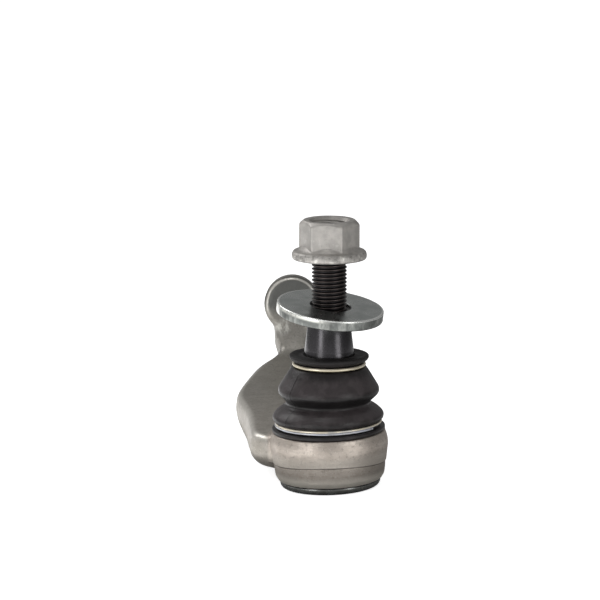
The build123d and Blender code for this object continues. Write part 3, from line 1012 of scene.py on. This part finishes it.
def along_boss(mesh):
    """Moves a mesh turned round Z to the boss, with its start at the boss's near face."""
    aim = Vector(BOSS_AXIS).to_track_quat("Z", "Y").to_matrix().to_4x4()
    mesh.transform(Matrix.Translation(Vector(BOSS_FACE) * MM) @ aim)
    return mesh


def boss_mesh():
    """The solid boss with its rounded near edge."""
    near = arc((BOSS_RADIUS - 2.0, 2.0), 2.0, -90, 0, 10)
    far = [(BOSS_RADIUS, BOSS_LENGTH - 0.8), (BOSS_RADIUS - 0.8, BOSS_LENGTH)]
    return along_boss(turned("boss", [(0, 0), *near, *far, (0, BOSS_LENGTH)], 128, loop=False))


def boss_void():
    """Blind tapping bore with its drill point and chamfered mouth."""
    point = BORE_START - BOSS_BORE * math.tan(math.radians(DRILL_POINT))
    over = BOSS_LENGTH + 1.0
    mouth = [(BOSS_BORE, BOSS_LENGTH - 1.1), (BOSS_BORE + 2.1, over), (0, over)]
    return along_boss(turned("boss_void", [(0, point), (BOSS_BORE, BORE_START), *mouth], 96, loop=False))


def barrel_outside(step):
    """Outside of the ball housing from its rolled lip up to the collar inside the boot."""
    low = UNDERSIDE
    lip = [(17.2, low + 0.35), (17.4, low + 0.06)] + arc((17.9, low + 2.0), 2.0, -90, 0, 9)
    lip += [(19.9, low + 2.5), (19.78, low + 2.72), (19.5, low + 2.8), (19.3, low + 2.86)]
    lip += [(19.25, GROOVE + 0.08), (20.3, GROOVE + 0.14), (20.62, GROOVE + 0.3)]
    lower = through([(20.8, GROOVE + 0.6), (21.6, -12.4), (22.0, -9.8), (22.15, PARTING - 0.55)])
    overhang = [(22.0, PARTING - 0.25), (21.95, PARTING - 0.08), (22.2 + step, PARTING)]
    overhang.append((22.27 + step, PARTING + 0.12))
    upper = [(22.3 + step, PARTING + 0.35), (23.08, -3.6), (23.41, -0.8), (23.28, 1.6), (22.6, 4.1)]
    shoulder = [(22.52, 4.4), (22.35, 4.7), (21.95, SHOULDER - 0.02), (21.5, SHOULDER)]
    return lip + lower + overhang + through(upper) + shoulder


def barrel_mesh(step):
    """The turned and forged barrel with its collar and a trimmed, uneven parting edge."""
    collar = [(19.2, SHOULDER), (19.0, SHOULDER + 0.2), (19.0, 6.7), (18.2, 7.2), (18.2, 8.8)]
    collar += [(19.0, 9.3), (18.7, COLLAR_TOP - 0.4), (18.3, COLLAR_TOP), (0, COLLAR_TOP)]

    def shape(angles, radii, heights):
        edge = eased(-np.abs(heights - PARTING - 0.1), -0.35, -0.1) * (radii > 22.2)
        trimmed = EDGE_TRIM * waver(angles, 3, (5, 9, 14, 23, 31))
        near = np.exp(-(((heights - PARTING) / RISE_SPREAD) ** 2)) * (radii > 21)
        front = np.clip(-np.sin(angles), 0, 1) ** 2
        return radii + edge * trimmed, heights + PARTING_RISE * near * front

    outline = [(0, UNDERSIDE + 0.35), *barrel_outside(step), *collar]
    return turned("barrel", outline, 288, shape, loop=False)


def socket_void():
    """Socket for the shell, counterbore for the cover, the lip's bore and the flared mouth."""
    dome = arc((0, 0), SEAT_RADIUS, 0, 90 - MOUTH_ANGLE, 16)
    rim_radius, rim_height = dome[-1]
    over = COLLAR_TOP + 1
    mouth = rim_radius + (over - rim_height) * math.tan(math.radians(SWING_ROOM))
    bores = [(0, UNDERSIDE - 1), (17.2, UNDERSIDE - 1), (17.1, UNDERSIDE), (16.6, COVER_BACK)]
    bores += [(COVER_RADIUS, COVER_BACK), (COVER_RADIUS, COVER_TOP), (SEAT_RADIUS, COVER_TOP)]
    return turned("socket_void", [*bores, *dome, (mouth, over), (0, over)], 160, loop=False)


def sink(points, step):
    """Draws the cells in behind the barrel's turned skin, so that only its own mesh shows there."""
    x, y, z = points.T
    radius = np.hypot(x, y)
    heights, radii = zip(*sorted((up, out) for out, up in barrel_outside(step) if up > GROOVE))
    skin = np.interp(z, heights, radii)
    under = (z < SHOULDER + 0.2) & (radius > 19.3)
    sunk = SINK_DEPTH * (1 - eased(radius - skin, 0.1, 1.1)) * under
    points[:, :2] *= ((radius - sunk) / np.maximum(radius, 1))[:, None]
    on_top = under & (radius < 23)
    points[on_top, 2] = np.minimum(points[on_top, 2], SHOULDER - 0.3)
    points[:, 2] = np.maximum(points[:, 2], UNDERSIDE + 0.4)
    lip = (points[:, 2] < GROOVE + 0.2) & (radius > LIP_RADIUS)
    points[lip, :2] *= (LIP_RADIUS / radius[lip])[:, None]
    low, high = CAD_BOX
    return np.clip(points, np.array(low) / MM, np.array(high) / MM)


def forging(settings):
    """Arm, boss and barrel in even cells, with the corners between them filled as a forging's are."""
    core = [(0, UNDERSIDE + 1), (19.0, UNDERSIDE + 1), (19.0, GROOVE), (20.4, GROOVE + 0.4)]
    core += [(21.8, PARTING), (22.9, -2.0), (22.6, SHOULDER - 0.8), (21.6, SHOULDER - 0.4)]
    barrel = turned("core", [*core, (0, SHOULDER - 0.4)], 160, loop=False)
    mesh = combine("forging", barrel, arm_mesh(), "UNION")
    piece = piece_of("forging_cells", combine("forging", mesh, boss_mesh(), "UNION"))
    cells = piece.modifiers.new("cells", "REMESH")
    cells.mode = "VOXEL"
    cells.voxel_size = settings.grain
    mesh = evaluated(piece)

    points = points_of(mesh)
    from_face = points - BOSS_FACE
    behind = from_face @ BOSS_AXIS
    off_axis = np.linalg.norm(from_face - np.outer(behind, BOSS_AXIS), axis=1)
    by_barrel = 1 - eased(np.hypot(points[:, 0], points[:, 1]), *BARREL_FILLET)
    by_boss = (1 - eased(off_axis, *BOSS_FILLET)) * eased(behind, *FACE_FILLET)
    everywhere = np.ones(len(points))
    even_out(mesh, settings.relax, everywhere)
    even_out(mesh, settings.fillet, np.maximum(by_barrel, by_boss), fill=True)
    even_out(mesh, LAST_PASSES, everywhere)
    set_points(mesh, sink(points_of(mesh), settings.step / MM))
    return mesh


class RODEND_OT_housing(bpy.types.Operator):
    """Build the forged housing with its arm, its boss and the boss's thread"""

    bl_idname = "rodend.housing"
    bl_label = "Forged housing"

    def execute(self, context):
        settings = context.scene.rod_end_housing
        mesh = combine("housing", forging(settings), barrel_mesh(settings.step / MM), "UNION")
        thread = threaded_rod().make(
            "boss_thread", Radius=settings.bore_thread / MM / 2, Depth=0.72, Tip=BLUNT, Foot=BLUNT,
            Start=BORE_START + THREAD_MARGIN, End=BOSS_LENGTH + 2 * THREAD_MARGIN,
        )
        for void in (socket_void(), boss_void(), along_boss(thread)):
            mesh = combine("housing", mesh, void, "DIFFERENCE")
        smooth(mesh, 42)
        # The edges marked here get the forging's painted highlight.
        mark_edges(mesh, "worn", passes=30, full=0.4)
        finishes = [forged_finish(settings), lip_finish(settings)]
        piece = settle("forged_housing", mesh, finishes, "housing", "forged_aluminium", "housing")
        for face in piece.data.polygons:
            face.material_index = int(face.center.z / MM < GROOVE + 0.02)
        return {"FINISHED"}


# ---------------------------------------------------------------- bearing inside the housing


class RODEND_OT_bearing(bpy.types.Operator):
    """Finish the shell, the disc spring and the closure cover inside the housing"""

    bl_idname = "rodend.bearing"
    bl_label = "Bearing and closure"

    def execute(self, context):
        settings = context.scene.rod_end_bearing
        disc = sheet_finish("spring_steel", settings.spring_colour, (0.09, 0.09, 0.1))
        rolled = sheet_finish("pressed_steel", settings.steel_colour, (0.2, 0.2, 0.2), (1, 0.12, 1))
        repaint("ball_seat", plastic_finish(settings))
        repaint("preload_spring", disc)
        repaint("closure_cover", rolled)
        return {"FINISHED"}


# ---------------------------------------------------------------- stud

# Heights above the ball's centre, and radii.
LIP_TOP, TAPER_BASE, TAPER_TOP, STUD_TOP = 35.6, 38.0, 49.7, 80.5
TAPER_BASE_RADIUS, TAPER_TOP_RADIUS, TAPER_EDGE = 9.65, 8.25, 0.35
BALL_RADIUS, BALL_FLAT, NECK_RADIUS, THREAD_RADIUS = 13.5, -12.4, 7.5, 6.93


def stud_core():
    """Ball, neck, sealing cylinder and taper, up to the root of the thread."""
    start, end = math.asin(BALL_FLAT / BALL_RADIUS), math.acos(NECK_RADIUS / BALL_RADIUS)
    ball = arc((0, 0), BALL_RADIUS, math.degrees(start), math.degrees(end), 40)
    neck = through([(NECK_RADIUS, 11.8), (NECK_RADIUS, 22.0), (7.95, 25.0), (9.2, 27.8), (9.9, 29.2)])
    seal = [(9.9, 30.0), (9.9, LIP_TOP - 0.4)]
    flare = [(9.92, LIP_TOP + 0.1), (9.86, LIP_TOP + 0.8), (9.73, 37.2), (TAPER_BASE_RADIUS, TAPER_BASE)]
    slope = (TAPER_BASE_RADIUS - TAPER_TOP_RADIUS) / (TAPER_TOP - TAPER_BASE)
    top = [(TAPER_TOP_RADIUS + slope * TAPER_EDGE, TAPER_TOP - TAPER_EDGE)]
    top += [(TAPER_TOP_RADIUS - 0.1, TAPER_TOP - 0.08), (TAPER_TOP_RADIUS - TAPER_EDGE, TAPER_TOP)]
    root = [(6.0, TAPER_TOP), (5.9, TAPER_TOP + 1.2), (0, TAPER_TOP + 1.2)]
    outline = [(0, BALL_FLAT), *ball, *neck, *seal, *through(flare, 4), *top, *root]
    return turned("stud_core", outline, 160, loop=False)


class RODEND_OT_stud(bpy.types.Operator):
    """Build the ball stud with its rolled thread"""

    bl_idname = "rodend.stud"
    bl_label = "Ball stud"

    def execute(self, context):
        settings = context.scene.rod_end_stud
        thread = threaded_rod().make(
            "stud_thread", Radius=THREAD_RADIUS, Depth=settings.depth / MM, Pitch=settings.pitch / MM,
            Start=TAPER_TOP - 0.2, End=STUD_TOP, Tip=THREAD_RADIUS - 1.15, Foot=BLUNT,
        )
        mesh = smooth(combine("stud", stud_core(), thread, "UNION"), 34)
        mesh.transform(LEANED)
        settle("tapered_stud", mesh, [stud_finish(settings)], "stud", "dark_steel", "ball_stud")
        return {"FINISHED"}


# ---------------------------------------------------------------- boot

# The boot's outline as radius and height, up its outside and down its inside.
BOOT_BAND = [
    (21.6, 5.1), (22.15, 5.14), (22.4, 5.4), (22.42, 6.0), (22.36, 6.4), (22.0, 6.62), (21.2, 6.74),
]
BOOT_GROOVE = [(20.6, 6.86), (20.3, 7.1), (20.26, 7.5), (20.26, 8.6), (20.4, 8.92)]
BOOT_LOWER_FOLD = [
    (20.85, 9.12), (21.45, 9.4), (21.88, 10.05), (22.03, 10.85), (21.85, 11.6), (21.15, 12.6),
    (19.7, 13.95), (18.3, 14.9), (17.25, 15.6),
]
BOOT_UPPER_FOLD = [
    (16.8, 16.4), (17.15, 17.35), (18.2, 18.5), (19.2, 19.55), (19.83, 20.5), (19.98, 21.5),
    (19.6, 22.8), (18.3, 24.95), (16.65, 27.6), (15.4, 29.6),
]
BOOT_LIP = [
    (14.6, 30.5), (13.55, 30.75), (13.25, 31.1), (13.25, 32.3), (13.6, 32.75), (14.5, 33.2),
    (15.3, 33.75), (15.7, 34.4), (15.72, 34.95), (15.5, 35.35), (14.9, 35.55), (14.0, 35.5),
]
BOOT_TOP = [
    (13.0, 35.15), (12.0, 35.0), (10.9, 35.15), (10.4, 35.5), (10.09, 35.4), (10.05, 34.8),
    (10.05, 30.6), (10.4, 30.3), (12.4, 29.7),
]
BOOT_INSIDE = [
    (12.4, 29.7), (15.0, 26.5), (16.9, 23.7), (17.55, 21.6), (16.6, 19.6), (15.0, 17.7), (14.7, 16.5),
    (15.5, 15.0), (17.4, 13.5), (19.2, 12.0), (19.25, 9.9),
]
BOOT_BEAD = [(19.25, 9.3), (18.45, 8.4), (18.45, 7.6), (19.25, 6.7), (19.25, 5.25), (19.4, 5.1)]
BOOT_BEND = (10.0, 25.0)  # heights between which it takes up the stud's lean
FOLDS_START, FOLDS_END = (9.0, 11.0), (28.0, 30.0)  # heights where its unevenness comes and goes
SEAM_WIDTH, DROOP = 0.24, 0.16


def boot_mesh(settings):
    """Bellows with its clamped band, two folds and lip, leaning with the stud towards its top."""
    folds = through(BOOT_GROOVE + BOOT_LOWER_FOLD + BOOT_UPPER_FOLD + BOOT_LIP, 4)
    outline = through(BOOT_BAND, 3) + folds + BOOT_TOP + through(BOOT_INSIDE, 4)[1:] + BOOT_BEAD
    seam, wander = settings.seam / MM, settings.waver / MM

    def shape(angles, radii, heights):
        fold = eased(heights, *FOLDS_START) * (1 - eased(heights, *FOLDS_END))
        for k in range(2):
            off = (angles - settings.seam_turn - k * math.pi + math.pi) % TAU - math.pi
            ridge = np.exp(-((off * radii / SEAM_WIDTH) ** 2))
            outer = eased(radii, 16.6, 17.0) * (heights < 26) + eased(heights, 24, 26)
            radii = radii + seam * ridge * fold * np.clip(outer, 0, 1)
        sag = wander * fold * (waver(angles, 11) * 0.7 + 0.5 * waver(angles + heights * 0.09, 12))
        drop = DROOP * fold * waver(angles, 13)
        return radii + sag, heights + drop

    mesh = turned("boot", outline, 360, shape)
    points = points_of(mesh)
    lean = STUD_LEAN * eased(points[:, 2], *BOOT_BEND)
    x, z = points[:, 0].copy(), points[:, 2].copy()
    points[:, 0] = x * np.cos(lean) + z * np.sin(lean)
    points[:, 2] = z * np.cos(lean) - x * np.sin(lean)
    set_points(mesh, points)
    return smooth(mesh, 50)


class RODEND_OT_boot(bpy.types.Operator):
    """Build the rubber boot, which bends between the housing's collar and the stud"""

    bl_idname = "rodend.boot"
    bl_label = "Rubber boot"

    def execute(self, context):
        settings = context.scene.rod_end_boot
        finishes = [rubber_finish(settings)]
        piece = settle("rubber_boot", boot_mesh(settings), finishes, None, "boot_rubber", "dust_boot")
        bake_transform(piece)
        return {"FINISHED"}


# ---------------------------------------------------------------- clamp rings


class RODEND_OT_rings(bpy.types.Operator):
    """Wind the two wire rings that hold the boot"""

    bl_idname = "rodend.rings"
    bl_label = "Clamp rings"

    def execute(self, context):
        settings = context.scene.rod_end_rings
        shape = wire_ring()
        # The upper ring: yellow above and a darker yellow below, painted shade on its underside.
        yellow, plain, shaded_yellow = settings.upper_colour, settings.lower_colour, (0.3, 0.265, 0.16)
        mesh = shape.make(
            "upper_ring", Radius=13.93, Wire=settings.upper_wire / MM, Turns=0.992, Pitch=0.0,
            Height=31.7, StartAngle=math.radians(115), Steps=180, Sides=20,
        )
        mesh.transform(LEANED)
        bright = wire_finish("upper_wire", STUD_AXIS, yellow, shaded_yellow, (0.5, 0.45, 0.34), 31.55)
        settle("upper_ring", smooth(mesh, 60), [bright], "boot_collar", "ring_wire", "upper_clamp_ring")

        mesh = shape.make(
            "lower_ring", Radius=20.86, Wire=settings.lower_wire / MM, Turns=settings.turns, Pitch=0.88,
            Height=8.07, StartAngle=settings.end_turn, Steps=150, Sides=18,
        )
        # Its yellow upper turn and plain lower turn are painted reflection.
        paired = wire_finish("lower_wire", (0, 0, 1), yellow, plain, (0.42, 0.42, 0.42), 8.1)
        settle("lower_ring", smooth(mesh, 60), [paired], "boot", "ring_wire", "lower_clamp_ring")
        return {"FINISHED"}


# ---------------------------------------------------------------- washer

WASHER_RADIUS, WASHER_HOLE, WASHER_HALF, WASHER_BREAK = 21.15, 8.0, 2.05, 0.3
WASHER_SHIFT, WASHER_HEIGHT, WASHER_WEAR = 0.35, 53.07, 0.03
WASHER_TILT = math.radians(6.0)
WASHER_PLACE = (
    LEANED
    @ Matrix.Translation((WASHER_SHIFT * MM, 0, WASHER_HEIGHT * MM))
    @ Matrix.Rotation(WASHER_TILT, 4, "X")
    @ Matrix.Rotation(WASHER_TILT, 4, "Y")
)


class RODEND_OT_washer(bpy.types.Operator):
    """Build the plated washer, tipped on the stud's shoulder"""

    bl_idname = "rodend.washer"
    bl_label = "Washer"

    def execute(self, context):
        settings = context.scene.rod_end_washer
        edge, half, inner = settings.edge / MM, WASHER_HALF, WASHER_HALF - WASHER_BREAK
        rim, bevel = WASHER_RADIUS - edge, WASHER_HOLE + WASHER_BREAK
        outline = [(bevel, -half), (14.0, -half)]
        outline += arc((rim, edge - half), edge, -90, 0) + arc((rim, half - edge), edge, 0, 90)
        outline += [(14.0, half), (bevel, half), (WASHER_HOLE, inner), (WASHER_HOLE, -inner)]

        def shape(angles, radii, heights):
            worn = WASHER_WEAR * eased(radii, rim - 1, WASHER_RADIUS)
            radii = radii + worn * waver(angles, 21, (4, 9, 17))
            return radii, heights + worn * waver(angles, 22)

        mesh = smooth(turned("washer", outline, 256, shape), 40)
        mesh.transform(WASHER_PLACE)
        settle("plated_washer", mesh, [washer_finish(settings)], "washer", "zinc_steel", "washer")
        return {"FINISHED"}


# ---------------------------------------------------------------- nut

NUT_BOTTOM, NUT_TOP, NUT_TURN = 73.8, 89.3, math.radians(-6.7)
# Radius and height above the nut's foot.
FLANGE = [
    (13.8, 0.0), (14.4, 0.14), (14.66, 0.5), (14.75, 1.05), (14.75, 1.7), (14.66, 2.3), (14.42, 2.85),
    (14.0, 3.25), (13.3, 3.48), (12.6, 3.66), (12.0, 4.0), (11.5, 4.45), (10.4, 5.4),
]
FLANGE_EDGE, CROWN_DROP, CROWN_ANGLE = 3.3, 0.4, math.radians(38)


def nut_mesh(settings):
    """Hexagon and coned flange as one skin, their meeting edges rounded."""
    height = NUT_TOP - NUT_BOTTOM
    apothem = settings.flats / MM / 2
    soft = settings.corner / MM
    chamfer, slope, sixth = apothem - CROWN_DROP, math.tan(CROWN_ANGLE), TAU / 6

    def shape(angles, radii, heights):
        off = (angles - NUT_TURN) % sixth - sixth / 2
        hexagon = apothem / np.cos(off)
        corner = (apothem / math.cos(sixth / 2) - 0.12) * np.ones_like(off)
        hexagon = blunt(hexagon, corner, 0.25)
        crown = chamfer + (height - heights) / slope
        sides = blunt(hexagon, crown, soft * 2.6)
        cone = np.interp(heights, [p[1] for p in FLANGE], [p[0] for p in FLANGE], right=0.0)
        skin = -blunt(-sides, -cone, soft)
        return np.where((radii > 9.7) & (heights >= FLANGE_EDGE), skin, radii), heights

    rows = [(0, 0), (7.6, 0), (10.0, 0)] + [p for p in FLANGE if p[1] < FLANGE_EDGE]
    for run in ((3.35, 5.6, 0.12), (5.8, 11.6, 0.3), (11.65, height - 0.05, 0.11)):
        rows += [(14, z) for z in np.arange(*run)]
    rows += [(14, height - 0.04), (9.6, height), (8.3, height - 0.02), (7.95, height - 0.2)]
    rows += [(7.0, height - 1.8), (0, height - 1.8)]
    return turned("nut", rows, 360, shape, loop=False)


def blunt(a, b, soft):
    """The lesser of two, with the corner between them rounded over about soft."""
    h = np.clip(0.5 + 0.5 * (b - a) / soft, 0, 1)
    return b * (1 - h) + a * h - soft * h * (1 - h)


class RODEND_OT_nut(bpy.types.Operator):
    """Build the flange nut with its threaded bore"""

    bl_idname = "rodend.nut"
    bl_label = "Flange nut"

    def execute(self, context):
        settings = context.scene.rod_end_nut
        thread = threaded_rod().make(
            "nut_thread", Radius=7.5, Depth=0.5, Tip=BLUNT, Foot=BLUNT, Start=-3.0, End=19.0
        )
        mesh = smooth(combine("nut", nut_mesh(settings), thread, "DIFFERENCE"), 30)
        mesh.transform(LEANED @ Matrix.Translation((0, 0, NUT_BOTTOM * MM)))
        settle("locking_nut", mesh, [nut_finish(settings)], "nut", "nut_steel", "flange_nut")
        return {"FINISHED"}


# ---------------------------------------------------------------- stage


# Softboxes: degrees round from the front and above the floor, distance, width and height in metres,
# and the setting that gives the brightness.
SOFTBOXES = {
    "left_softbox": (-42, 14, 0.6, 0.19, 0.4, "key"),
    "right_softbox": (43, 14, 0.6, 0.21, 0.4, "side"),
    "rim_softbox": (-125, 42, 0.8, 0.3, 0.5, "rim"),
    "top_softbox": (-25, 78, 0.7, 0.3, 0.12, "top"),
}
# Glowing cards on the floor: place, width and depth in metres, and share of the cards' brightness.
CARDS = {
    "front_card": (-0.1, -0.44, 0.7, 0.8, 1.0),
    "left_card": (-0.4, 0.14, 0.7, 0.9, 1.3),
    "right_card": (0.34, 0.0, 0.55, 0.7, 0.35),
}
SOFTBOX_AIM = Vector((0, 0, 0.03))
SENSOR = 36.0


def lamp_of(name, width, tall, brightness):
    """A rectangular lamp whose face has this brightness. The lens doesn't see it."""
    light = bpy.data.lights.new(name, "AREA")
    light.shape = "RECTANGLE"
    light.size, light.size_y = width, tall
    light.energy = brightness * math.pi * width * tall
    lamp = piece_of(name, light)
    lamp.visible_camera = False
    return lamp


def softbox(name, turn, tilt, distance, width, tall, brightness):
    """A lamp turned round from the front and tilted up from the floor, aimed at the part."""
    lamp = lamp_of(name, width, tall, brightness)
    turn, tilt = math.radians(turn), math.radians(tilt)
    away = Vector((math.sin(turn) * math.cos(tilt), -math.cos(turn) * math.cos(tilt), math.sin(tilt)))
    lamp.location = away * distance + SOFTBOX_AIM
    lamp.rotation_euler = away.to_track_quat("Z", "Y").to_euler()


def bounce_card(name, x, y, width, deep, brightness):
    """A lamp lying on the floor and shining up."""
    lamp = lamp_of(name, width, deep, brightness)
    lamp.location = (x, y, UNDERSIDE * MM)
    lamp.rotation_euler = (math.pi, 0, 0)


def surround(settings):
    """Dim, even studio dome, a little brighter on the left. The lens itself sees a pale wall."""
    world = bpy.data.worlds.new("studio")
    world.use_nodes = True
    graph = Graph(world.node_tree)
    graph.tree.nodes.clear()
    x, y, z = graph.parts(graph.add("ShaderNodeTexCoord"))
    left = (x * 0.9 + y * 0.3).within(0.8, -0.8)
    glow = z.within(0.1, 0.9)
    strength = settings.horizon * (0.55 + left * 0.9) * (1 - glow) + settings.zenith * glow
    seen = graph.add("ShaderNodeLightPath", out="Is Camera Ray")
    strength = strength * (1 - seen) + seen
    lit = {"Color": (1.0, 1.0, 1.0, 1.0), "Strength": strength}
    light = graph.add("ShaderNodeBackground", None, lit)
    graph.add("ShaderNodeOutputWorld", None, {0: light})
    bpy.context.scene.world = world


def floor_finish(settings):
    """Pale paper. It glows a little for the lens, and throws less light back at the part."""
    finish = Finish("floor_paper", Roughness=0.9)
    seen = finish.add("ShaderNodeLightPath", out="Is Camera Ray")
    finish.set("Base Color", finish.blend(seen, [settings.bounce] * 3, settings.floor_colour))
    finish.set("Emission Color", finish.blend(seen, (0.0, 0.0, 0.0), (1.0, 1.0, 1.0)))
    finish.set("Emission Strength", settings.glow)
    return finish.material


def ground(settings):
    """A wide round floor just under the part."""
    form = bmesh.new()
    bmesh.ops.create_circle(form, cap_ends=True, segments=96, radius=9.0)
    mesh = bpy.data.meshes.new("floor")
    form.to_mesh(mesh)
    form.free()
    mesh.transform(Matrix.Translation((0, 0, (UNDERSIDE - 0.05) * MM)))
    mesh.materials.append(floor_finish(settings))
    return mesh


def aim_camera(settings):
    """The camera, which looks down a little and is rolled until the leaning stud stands upright."""
    pitch, roll = settings.pitch, settings.roll
    forward = Vector((0, math.cos(pitch), -math.sin(pitch)))
    level, over = Vector((1, 0, 0)), Vector((0, math.sin(pitch), math.cos(pitch)))
    right = level * math.cos(roll) - over * math.sin(roll)
    up = level * math.sin(roll) + over * math.cos(roll)
    view = bpy.data.cameras.new("camera")
    view.lens, view.sensor_width = settings.lens, SENSOR
    view.clip_start, view.clip_end = 0.05, 50.0
    camera = piece_of("camera", view)
    place = up * settings.below - right * settings.across - forward * settings.distance
    turn = Matrix((right, up, -forward)).transposed().to_4x4()
    camera.matrix_world = Matrix.Translation(place) @ turn
    bpy.context.scene.camera = camera


class RODEND_OT_stage(bpy.types.Operator):
    """Set the pale floor, the soft lights and the camera"""

    bl_idname = "rodend.stage"
    bl_label = "Stage"

    def execute(self, context):
        settings = context.scene.rod_end_studio
        piece_of("floor", ground(settings))
        for name, (*place, setting) in SOFTBOXES.items():
            softbox(name, *place, getattr(settings, setting))
        for name, (*place, share) in CARDS.items():
            bounce_card(name, *place, settings.card * share)
        surround(settings)
        aim_camera(settings)
        context.scene.view_settings.view_transform = "Standard"
        return {"FINISHED"}


# ---------------------------------------------------------------- add-on

PIECES = {
    "rod_end_housing": (HousingSettings, RODEND_OT_housing),
    "rod_end_bearing": (BearingSettings, RODEND_OT_bearing),
    "rod_end_stud": (StudSettings, RODEND_OT_stud),
    "rod_end_boot": (BootSettings, RODEND_OT_boot),
    "rod_end_rings": (RingSettings, RODEND_OT_rings),
    "rod_end_washer": (WasherSettings, RODEND_OT_washer),
    "rod_end_nut": (NutSettings, RODEND_OT_nut),
    "rod_end_studio": (StudioSettings, RODEND_OT_stage),
}


class RODEND_PT_pieces(bpy.types.Panel):
    """Lists the pieces with their settings"""

    bl_idname = "RODEND_PT_pieces"
    bl_label = "Steering rod end"
    bl_space_type = "VIEW_3D"
    bl_region_type = "UI"
    bl_category = "Rod end"

    def draw(self, context):
        for key, (settings, step) in PIECES.items():
            box = self.layout.box()
            box.operator(step.bl_idname)
            for name in settings.__annotations__:
                box.prop(getattr(context.scene, key), name)


CLASSES = (*(item for pair in PIECES.values() for item in pair), RODEND_PT_pieces)


def register():
    for item in CLASSES:
        bpy.utils.register_class(item)
    for key, (settings, _) in PIECES.items():
        setattr(bpy.types.Scene, key, bpy.props.PointerProperty(type=settings))


def unregister():
    for key in PIECES:
        delattr(bpy.types.Scene, key)
    for item in reversed(CLASSES):
        bpy.utils.unregister_class(item)


def main():
    register()
    for _, step in PIECES.values():
        group, name = step.bl_idname.split(".")
        getattr(getattr(bpy.ops, group), name)()


if __name__ == "__main__":
    main()
